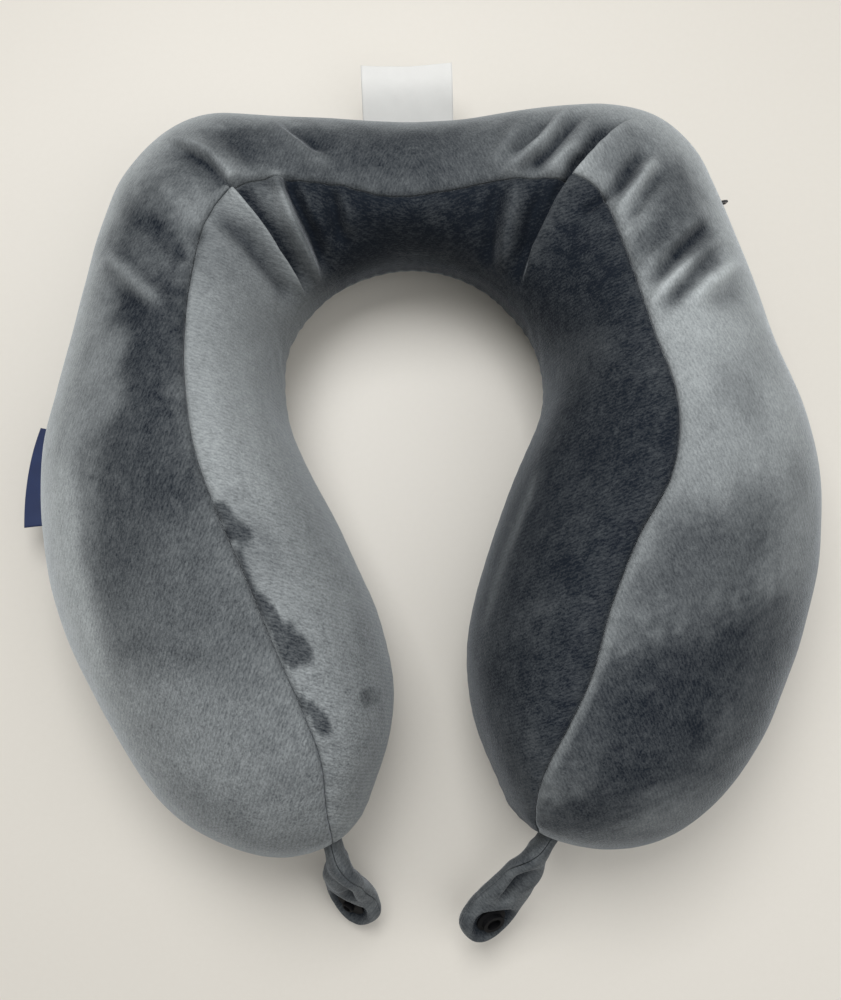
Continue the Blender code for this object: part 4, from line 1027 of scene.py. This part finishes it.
def tabRun(tab, along):
    # centre line of a tab, the way out of its face and the way up its width
    hinge, out = tabHinge(tab)
    turn = -tab["side"] * math.radians(tab["swing"])
    cosine, sine = math.cos(turn), math.sin(turn)
    out = np.array((out[0] * cosine - out[1] * sine, out[0] * sine + out[1] * cosine, 0.0))
    flat = np.array((-out[1], out[0], 0.0)) * tab["side"]
    fine = np.linspace(0.0, tabForm["length"], 600)
    slope = tabSlope(tab, fine)
    step = fine[1] - fine[0]
    reach, drop = [runningSum(0.5 * step * (pace[1:] + pace[:-1])) for pace in (np.cos(slope), np.sin(slope))]
    far = np.where(along < 0.0, along, np.interp(along, fine, reach))
    low = np.interp(along, fine, drop)
    centre = hinge + out * far[:, None] - upwards * low[:, None]
    angle = tabSlope(tab, along)[:, None]
    way = out * np.cos(angle) - upwards * np.sin(angle)
    turned = ramp(tabForm["leanFrom"] * tabForm["length"], tabForm["leanTo"] * tabForm["length"], along)
    lean = math.radians(tab["lean"]) * turned[:, None]
    upright = np.cross(np.broadcast_to(flat, way.shape), way)
    upright = upright * np.where(upright[:, 2:] > 0.0, 1.0, -1.0)
    face = flat * np.cos(lean) + upright * np.sin(lean)
    return centre, face, upright * np.cos(lean) - flat * np.sin(lean)


def tabLayer(name, tab, which):
    form = tabForm
    length = form["length"]
    rootRows, strapRows, endRows = form["rows"]
    root = np.linspace(-form["rootDepth"], 0.0, rootRows, endpoint=False)
    strap = np.linspace(0.0, form["endFrom"] * length, strapRows, endpoint=False)
    rounded = form["endShare"] * length * np.sin(np.linspace(0.0, 0.5 * math.pi, endRows))
    along = np.concatenate((root, strap, form["endFrom"] * length + rounded))
    centre, face, up = tabRun(tab, along)
    rooted = ramp(*form["rootRun"], along)
    neck = 0.5 * form["neckWidth"]
    end = 0.5 * form["endWidth"]
    widenFrom, widenTo = form["widening"]
    wide = neck + (end - neck) * ramp(widenFrom * length, widenTo * length, along)
    past = np.clip(along - (length - end), 0.0, None)
    wide = np.where(past > 0.0, np.sqrt(np.clip(end * end - past * past, 1e-9, None)), wide)
    wide = wide + (0.5 * form["rootWidth"] - wide) * rooted
    full = 0.5 * form["thickness"]
    past = np.clip(along - (length - full), 0.0, None)
    thick = np.sqrt(np.clip(full * full - form["endThinning"] * past * past, 1e-9, None))
    thick = thick + form["puff"] * ramp(*form["puffRun"], along)
    thick = thick + (0.5 * form["rootThickness"] - thick) * rooted
    near = 0.5 * form["layerGap"]
    across = np.sin(np.linspace(-0.5 * math.pi, 0.5 * math.pi, 33))
    square, dome = form["crown"]
    crown = ((1.0 - np.abs(across) ** square) ** dome)[None, :]
    height = near + (thick[:, None] - near) * crown
    # sunk seat of the snap, with a puffed ring round it; the seat is also painted dark as shade
    reachAlong = (along - (length - form["snapFromEnd"]))[:, None]
    reachUp = across[None, :] * wide[:, None]
    fromSnap = np.hypot(reachAlong, reachUp)
    rim = form["rimHeight"] * np.exp(-(((fromSnap - form["rimRadius"]) / form["rimWidth"]) ** 2)) * crown
    seat = ramp(form["snapRadius"] + form["seatSlope"], form["snapRadius"], fromSnap)
    height = (height + rim) * (1.0 - seat) + form["snapSeat"] * seat
    dark = seat
    if which > 0:
        slit = np.exp(-(((reachUp - form["slitUp"]) / form["slitWidth"]) ** 2))
        slit = slit * (ramp(*form["slitStart"], along) * ramp(*form["slitEnd"], along))[:, None]
        height = height - form["slitDepth"] * slit
        # the slit's hollow is painted dark as shade too
        dark = np.maximum(seat, form["slitShade"] * slit ** 2)
    height = np.maximum(height, near)
    places = zip(along * form["wrinklePace"], reachUp * form["wrinklePace"])
    wrinkle = np.array([[noise.noise(Vector((x, y, which))) for y in row] for x, row in places])
    height = height + form["wrinkle"] * wrinkle * crown
    front = centre[:, None] + up[:, None] * reachUp[..., None] + face[:, None] * which * height[..., None]
    backUp = wide[:, None] * np.linspace(1.0, -1.0, 13)[None, :]
    back = centre[:, None] + up[:, None] * backUp[..., None] + face[:, None] * which * near
    ring = np.concatenate((front[:, :-1], back), axis=1)
    ring[:, -1] = ring[:, 0]
    piece = clothGrid(name, ring)
    writeValues(piece, "seat", np.concatenate((dark[:, :-1], np.zeros(backUp.shape)), axis=1))
    closeRing(piece)
    return piece


tabPieces = {}
for sideName in ("left", "right"):
    for layerName, which in (("outer", 1.0), ("inner", -1.0)):
        layer = tabLayer(sideName + "Tab" + layerName.capitalize(), tabForm[sideName], which)
        wobble = uneven(pointsOf(layer), tabForm["napSize"], 3)
        # painted shade in the snap's seat and down the slit
        shade = 1.0 - tabForm["seatShade"] * readValues(layer, "seat")
        nap = np.clip(tabForm["napTone"] + tabForm["napSpread"] * wobble, 0.0, 1.0)
        writeValues(layer, "nap", nap * shade)
        writeValues(layer, "seamDistance", np.ones(len(wobble)))
        writeValues(layer, "level", np.zeros(len(wobble)))
        tabPieces[sideName, layerName] = layer
print("tabs made")


# Labels: strips folded double, with both ends sewn into the lower seam
labelForm = dict(ply=0.00025, layers=0.0007, fromSeam=0.0009)
careLabel = dict(middle=-0.001, width=0.038, reach=0.033, cutLength=0.0715, rise=0.010, wave=0.0009,
                 curl=0.006)
sideLabel = dict(middle=-0.112, length=0.036, reach=0.016, cutLength=0.033, droop=(4.0, 14.0), bow=0.0008)


def foldedStrip(roots, outs, ups, profile):
    # a strip out along a profile, round a small fold and back over itself
    half = 0.5 * labelForm["layers"]
    out, up = profile
    slopeOut = np.gradient(out)
    slopeUp = np.gradient(up)
    size = np.hypot(slopeOut, slopeUp)
    sideOut = -slopeUp / size
    sideUp = slopeOut / size
    turn = np.linspace(-0.5 * math.pi, 0.5 * math.pi, 9)[1:-1]
    tipOut = out[-1] + half * (np.cos(turn) * slopeOut[-1] / size[-1] + np.sin(turn) * sideOut[-1])
    tipUp = up[-1] + half * (np.cos(turn) * slopeUp[-1] / size[-1] + np.sin(turn) * sideUp[-1])
    lineOut = np.concatenate((out - half * sideOut, tipOut, (out + half * sideOut)[::-1]))
    lineUp = np.concatenate((up - half * sideUp, tipUp, (up + half * sideUp)[::-1]))
    return roots[:, None] + outs[:, None] * lineOut[None, :, None] + ups[:, None] * lineUp[None, :, None]


def ribbon(name, points):
    piece = clothGrid(name, points)
    subdivide(piece)
    applyModifier(piece, "SOLIDIFY", thickness=labelForm["ply"], offset=0.0)
    return piece


def seamLine(places, axis, levels):
    # points just off the lower outer seam at given X or Y, and the way out of the cover there
    girth = np.full_like(levels, outerBaseSeam)
    seam = pillowSkin(levels, girth)
    order = np.argsort(seam[:, axis])
    found = []
    for values in (seam, skinNormal(levels, girth)):
        columns = [np.interp(places, seam[order, axis], column) for column in values[order].T]
        found.append(np.stack(columns, axis=-1))
    return found[0] + found[1] * labelForm["fromSeam"], found[1]


def makeCareLabel():
    form = careLabel
    across = np.linspace(-0.5, 0.5, 25)
    roots, _ = seamLine(form["middle"] + across * form["width"], 0, np.linspace(-0.15, 0.15, 400))
    outs = np.tile((0.0, 1.0, 0.0), (len(across), 1))
    ups = np.tile(upwards, (len(across), 1))
    share = np.linspace(0.0, 1.0, 26)
    profile = (form["reach"] * share, form["rise"] * ramp(0.15, 0.85, share))
    points = foldedStrip(roots, outs, ups, profile)
    far = (points[..., 1] - roots[:, None, 1]) / form["reach"]
    wave = form["wave"] * np.sin(2.0 * math.pi * (across * 0.9 + 0.15))
    wave = wave + form["curl"] * np.clip(across - 0.2, 0.0, None)
    points[..., 2] += wave[:, None] * np.clip(far, 0.0, 1.2) ** 1.5
    return ribbon("careLabel", points)


def makeSideLabel():
    form = sideLabel
    across = np.linspace(-0.5, 0.5, 23)
    roots, ways = seamLine(form["middle"] + across * form["length"], 1, np.linspace(-0.62, -0.36, 400))
    flat = unit(ways * (1.0 - upwards))
    least, more = form["droop"]     # hangs lower at its back end
    droop = np.radians(least + more * (across + 0.5))[:, None]
    outs = flat * np.cos(droop) - upwards * np.sin(droop)
    ups = flat * np.sin(droop) + upwards * np.cos(droop)
    share = np.linspace(0.0, 1.0, 14)
    profile = (form["reach"] * share, form["bow"] * np.sin(math.pi * share))
    return ribbon("sideLabel", foldedStrip(roots, outs, ups, profile))


whiteLabel = makeCareLabel()
navyLabel = makeSideLabel()
print("labels folded")


# Finishes
plush = dict(
    dark=(0.009, 0.013, 0.020),
    light=(0.48, 0.515, 0.525),
    outerSheen=0.60,
    neckSheen=0.35,
    sheenTint=(0.80, 0.86, 0.92, 1.0),
    ribs=230.0,             # how close the ribs, strands and spots lie
    strands=1500.0,
    fine=2600.0,
    mottle=460.0,
    clouds=110.0,
    ribShare=0.18,
    pileTone=0.44,          # how much each of them shows
    fineTone=0.20,
    mottleTone=0.16,
    cloudTone=0.10,
    lightGrain=1.5,         # light pile is rougher than dark
    darkGrain=0.40,
)
stitchLine = dict(away=0.0009, width=0.0006, pitch=0.0034, depth=0.22)
stitchTurns = 2.0 * math.pi * halfLength / stitchLine["pitch"]


def velour(name, turn, sheen, lobeGrain=0.0):
    # fine knit ribs under a short pile, mirrored from half to half of the pillow
    form = plush
    finish = Finish(name)
    waves = {"Vector": finish.along(turn, 1.0), "Scale": form["ribs"]}
    waves.update({"Distortion": 7.0, "Detail": 3.0, "Detail Scale": 4.0})
    rib = finish.node("ShaderNodeTexWave", {"bands_direction": "X"}, waves, "Fac")
    strand = finish.noise(finish.along(turn, 2.6), form["strands"], 2.0, 0.6)
    fine = finish.noise(finish.place(), form["fine"], 2.0)
    mottle = finish.noise(finish.along(turn, 1.6), form["mottle"], 2.0)
    cloud = finish.noise(finish.place(), form["clouds"], 3.0)
    pile = rib * form["ribShare"] + strand * (1.0 - form["ribShare"])
    # the nap attribute holds the pile's tone with painted sheen and shade, and on the tabs painted shade in
    # their hollows
    pileSheenShade = finish.value("nap")
    level = finish.value("level")
    grain = (pile - 0.5) * form["pileTone"] + (fine - 0.5) * form["fineTone"]
    grain = grain + (mottle - 0.5) * form["mottleTone"] + (cloud - 0.5) * form["cloudTone"]
    leftLobe = (level * -1.6 - 0.6).clipped()
    grain = grain * (leftLobe * lobeGrain + 1.0)
    nap = pileSheenShade + grain * (pileSheenShade * form["lightGrain"] + form["darkGrain"])
    # needle marks beside the seams
    ticks = (level * stitchTurns).only("SINE")
    offLine = (finish.value("seamDistance") - stitchLine["away"]).only("ABSOLUTE")
    spot = (1.0 - offLine * (1.0 / stitchLine["width"])).clipped() * (ticks * 2.5 - 1.2).clipped()
    nap = nap * (1.0 - spot * stitchLine["depth"])
    finish.set(
        Base_Color=finish.mix(nap.clipped(), form["dark"], form["light"]),
        Roughness=0.92,
        Normal=finish.bump(pile + fine * 0.5, 0.0005, 0.5),
        Sheen_Weight=sheen,
        Sheen_Roughness=0.28,
        Sheen_Tint=form["sheenTint"],
        Specular_IOR_Level=0.12,
    )
    return finish.material


def foamFinish():
    finish = Finish("openFoam")
    cells = finish.node("ShaderNodeTexVoronoi", {}, {"Vector": finish.place(), "Scale": 900.0}, "Distance")
    tone = finish.noise(finish.place(), 40.0, 3.0)
    finish.set(
        Base_Color=finish.mix((cells * 0.5 + tone * 0.6).clipped(), (0.52, 0.45, 0.26), (0.80, 0.74, 0.55)),
        Roughness=0.95,
        Normal=finish.bump(cells, 0.0004, 0.6),
    )
    return finish.material


def wovenFinish(name, low, high, pitch, turn=0.0, roughness=0.8):
    # a fine plain weave: two crossed sets of threads
    finish = Finish(name)
    place = finish.place((0.0, 0.0, math.radians(turn)))
    inputs = {"Vector": place, "Scale": pitch, "Distortion": 0.6}
    threads = []
    for direction in ("X", "Y"):
        settings = {"bands_direction": direction, "wave_profile": "SIN"}
        threads.append(finish.node("ShaderNodeTexWave", settings, inputs, "Fac"))
    weave = threads[0] * 0.5 + threads[1] * 0.5
    cloud = finish.noise(finish.place(), 120.0, 3.0)
    finish.set(
        Base_Color=finish.mix((weave * 0.7 + (cloud - 0.5) * 0.6 + 0.1).clipped(), low, high),
        Roughness=roughness,
        Normal=finish.bump(weave, 0.00012, 0.6),
    )
    return finish.material


def plasticFinish(name, low, high, roughness):
    finish = Finish(name)
    grain = finish.noise(finish.place(), 1800.0, 3.0)
    smear = finish.noise(finish.place(), 220.0, 3.0)
    finish.set(
        Base_Color=finish.mix(smear, low, high),
        Roughness=(smear - 0.5) * 0.3 + roughness,
        Specular_IOR_Level=0.08,
        Normal=finish.bump(grain, 0.00004, 0.5),
    )
    return finish.material


def metalFinish():
    finish = Finish("darkZipMetal")
    scratch = finish.noise(finish.place((0.0, 0.0, 0.4), (1.0, 0.06, 0.3)), 2400.0, 4.0)
    worn = finish.noise(finish.place(), 380.0, 3.0)
    wear = (worn * 0.8 + scratch * 0.3 - 0.1).clipped()
    finish.set(
        Base_Color=finish.mix(wear, (0.045, 0.046, 0.050), (0.17, 0.17, 0.18)),
        Roughness=scratch * 0.25 + 0.25,
        Metallic=0.9,
        Normal=finish.bump(scratch, 0.00002, 0.5),
    )
    return finish.material


paint(outerPanel, velour("velourOuter", 22, plush["outerSheen"], 0.8))
paint(neckPanel, velour("velourNeck", -72, plush["neckSheen"], 1.0))
paint(basePanel, velour("velourBase", 10, plush["neckSheen"]))
tabVelour = velour("velourTab", 40, plush["neckSheen"])
for layer in tabPieces.values():
    paint(layer, tabVelour)
paint(core, foamFinish())
paint(whiteLabel, wovenFinish("whiteSatin", (0.72, 0.72, 0.70), (0.86, 0.86, 0.84), 900.0, 0.0, 0.55))
paint(navyLabel, wovenFinish("navyRibbon", (0.008, 0.016, 0.060), (0.020, 0.045, 0.150), 900.0, 8.0, 0.6))
nodeFinishes = dict(
    zipper_tape=wovenFinish("zipTape", (0.020, 0.025, 0.035), (0.060, 0.070, 0.090), 700.0, 16.0, 0.85),
    zipper_teeth=plasticFinish("zipTeeth", (0.030, 0.033, 0.040), (0.055, 0.060, 0.070), 0.40),
    zipper=metalFinish(),
    snap=plasticFinish("blackSnap", (0.004, 0.004, 0.005), (0.010, 0.010, 0.011), 0.60),
)
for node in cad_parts:
    for word, finish in nodeFinishes.items():
        if word in node:
            paint(bpy.data.objects[node], finish)
            break

for piece, node in (
    (outerPanel, "cover_outer_panel"),
    (neckPanel, "cover_neck_panel"),
    (basePanel, "cover_base_panel"),
):
    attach(piece, "pillow")
    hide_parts(node)
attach(core, "pillow")
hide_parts("foam_core")
for (sideName, layerName), layer in tabPieces.items():
    hinge, out = tabHinge(tabForm[sideName])
    start, end = [tuple(hinge + away * out) for away in tabForm["blend"]]
    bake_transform(layer)
    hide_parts(sideName + "_tab_" + layerName + "_layer")
for piece, node, cut in (
    (whiteLabel, "care_label", (careLabel["width"], careLabel["cutLength"])),
    (navyLabel, "side_label", (sideLabel["length"], sideLabel["cutLength"])),
):
    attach(piece, node)
    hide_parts(node)
print("pieces joined to the frame")


# Floor, light and camera
def counterFinish():
    finish = Finish("paleCounter")
    speck = finish.noise(finish.place(), 420.0, 3.0)
    cloud = finish.noise(finish.place(), 6.0, 2.0)
    tone = (speck - 0.5) * 0.25 + (cloud - 0.5) * 0.3 + 0.5
    finish.set(Base_Color=finish.mix(tone.clipped(), (0.70, 0.665, 0.60), (0.78, 0.75, 0.69)), Roughness=0.4)
    return finish.material


bpy.ops.object.select_all(action="DESELECT")
bpy.ops.mesh.primitive_plane_add(size=4.0, location=(0.0, -0.1, -0.0003))
counter = bpy.context.object
counter.name = "counter"
paint(counter, counterFinish())

lightSetup = dict(
    sky=0.34,
    skyColour=(1.0, 0.99, 0.97, 1.0),
    aim=(0.0, -0.12, 0.05),
    key=dict(place=(-0.12, 0.28, 1.18), size=0.6, power=9.0),
    fill=dict(place=(0.45, -0.35, 1.1), size=0.9, power=3.8),
)
world = bpy.data.worlds.new("softRoom")
bpy.context.scene.world = world
world.use_nodes = True
sky = world.node_tree.nodes["Background"]
sky.inputs["Color"].default_value = lightSetup["skyColour"]
sky.inputs["Strength"].default_value = lightSetup["sky"]
for name in ("key", "fill"):
    lamp = lightSetup[name]
    bpy.ops.object.light_add(type="AREA", location=lamp["place"])
    light = bpy.context.object
    light.name = name + "Light"
    light.data.size = lamp["size"]
    light.data.energy = lamp["power"]
    aim = Vector(lightSetup["aim"]) - Vector(lamp["place"])
    light.rotation_euler = aim.to_track_quat("-Z", "Y").to_euler()

view = dict(place=(-0.0067, -0.1971, 0.5582), tilt=(7.63, -0.52, -2.10), lens=47.87)
bpy.ops.object.camera_add()
camera = bpy.context.object
camera.name = "photoCamera"
turns = [Matrix.Rotation(math.radians(angle), 4, axis) for angle, axis in zip(view["tilt"], "XYZ")]
camera.matrix_world = Matrix.Translation(view["place"]) @ turns[0] @ turns[1] @ turns[2]
camera.data.lens = view["lens"]
camera.data.sensor_width = 36.0
bpy.context.scene.camera = camera
bpy.context.scene.view_settings.view_transform = "Standard"
print("stage set")
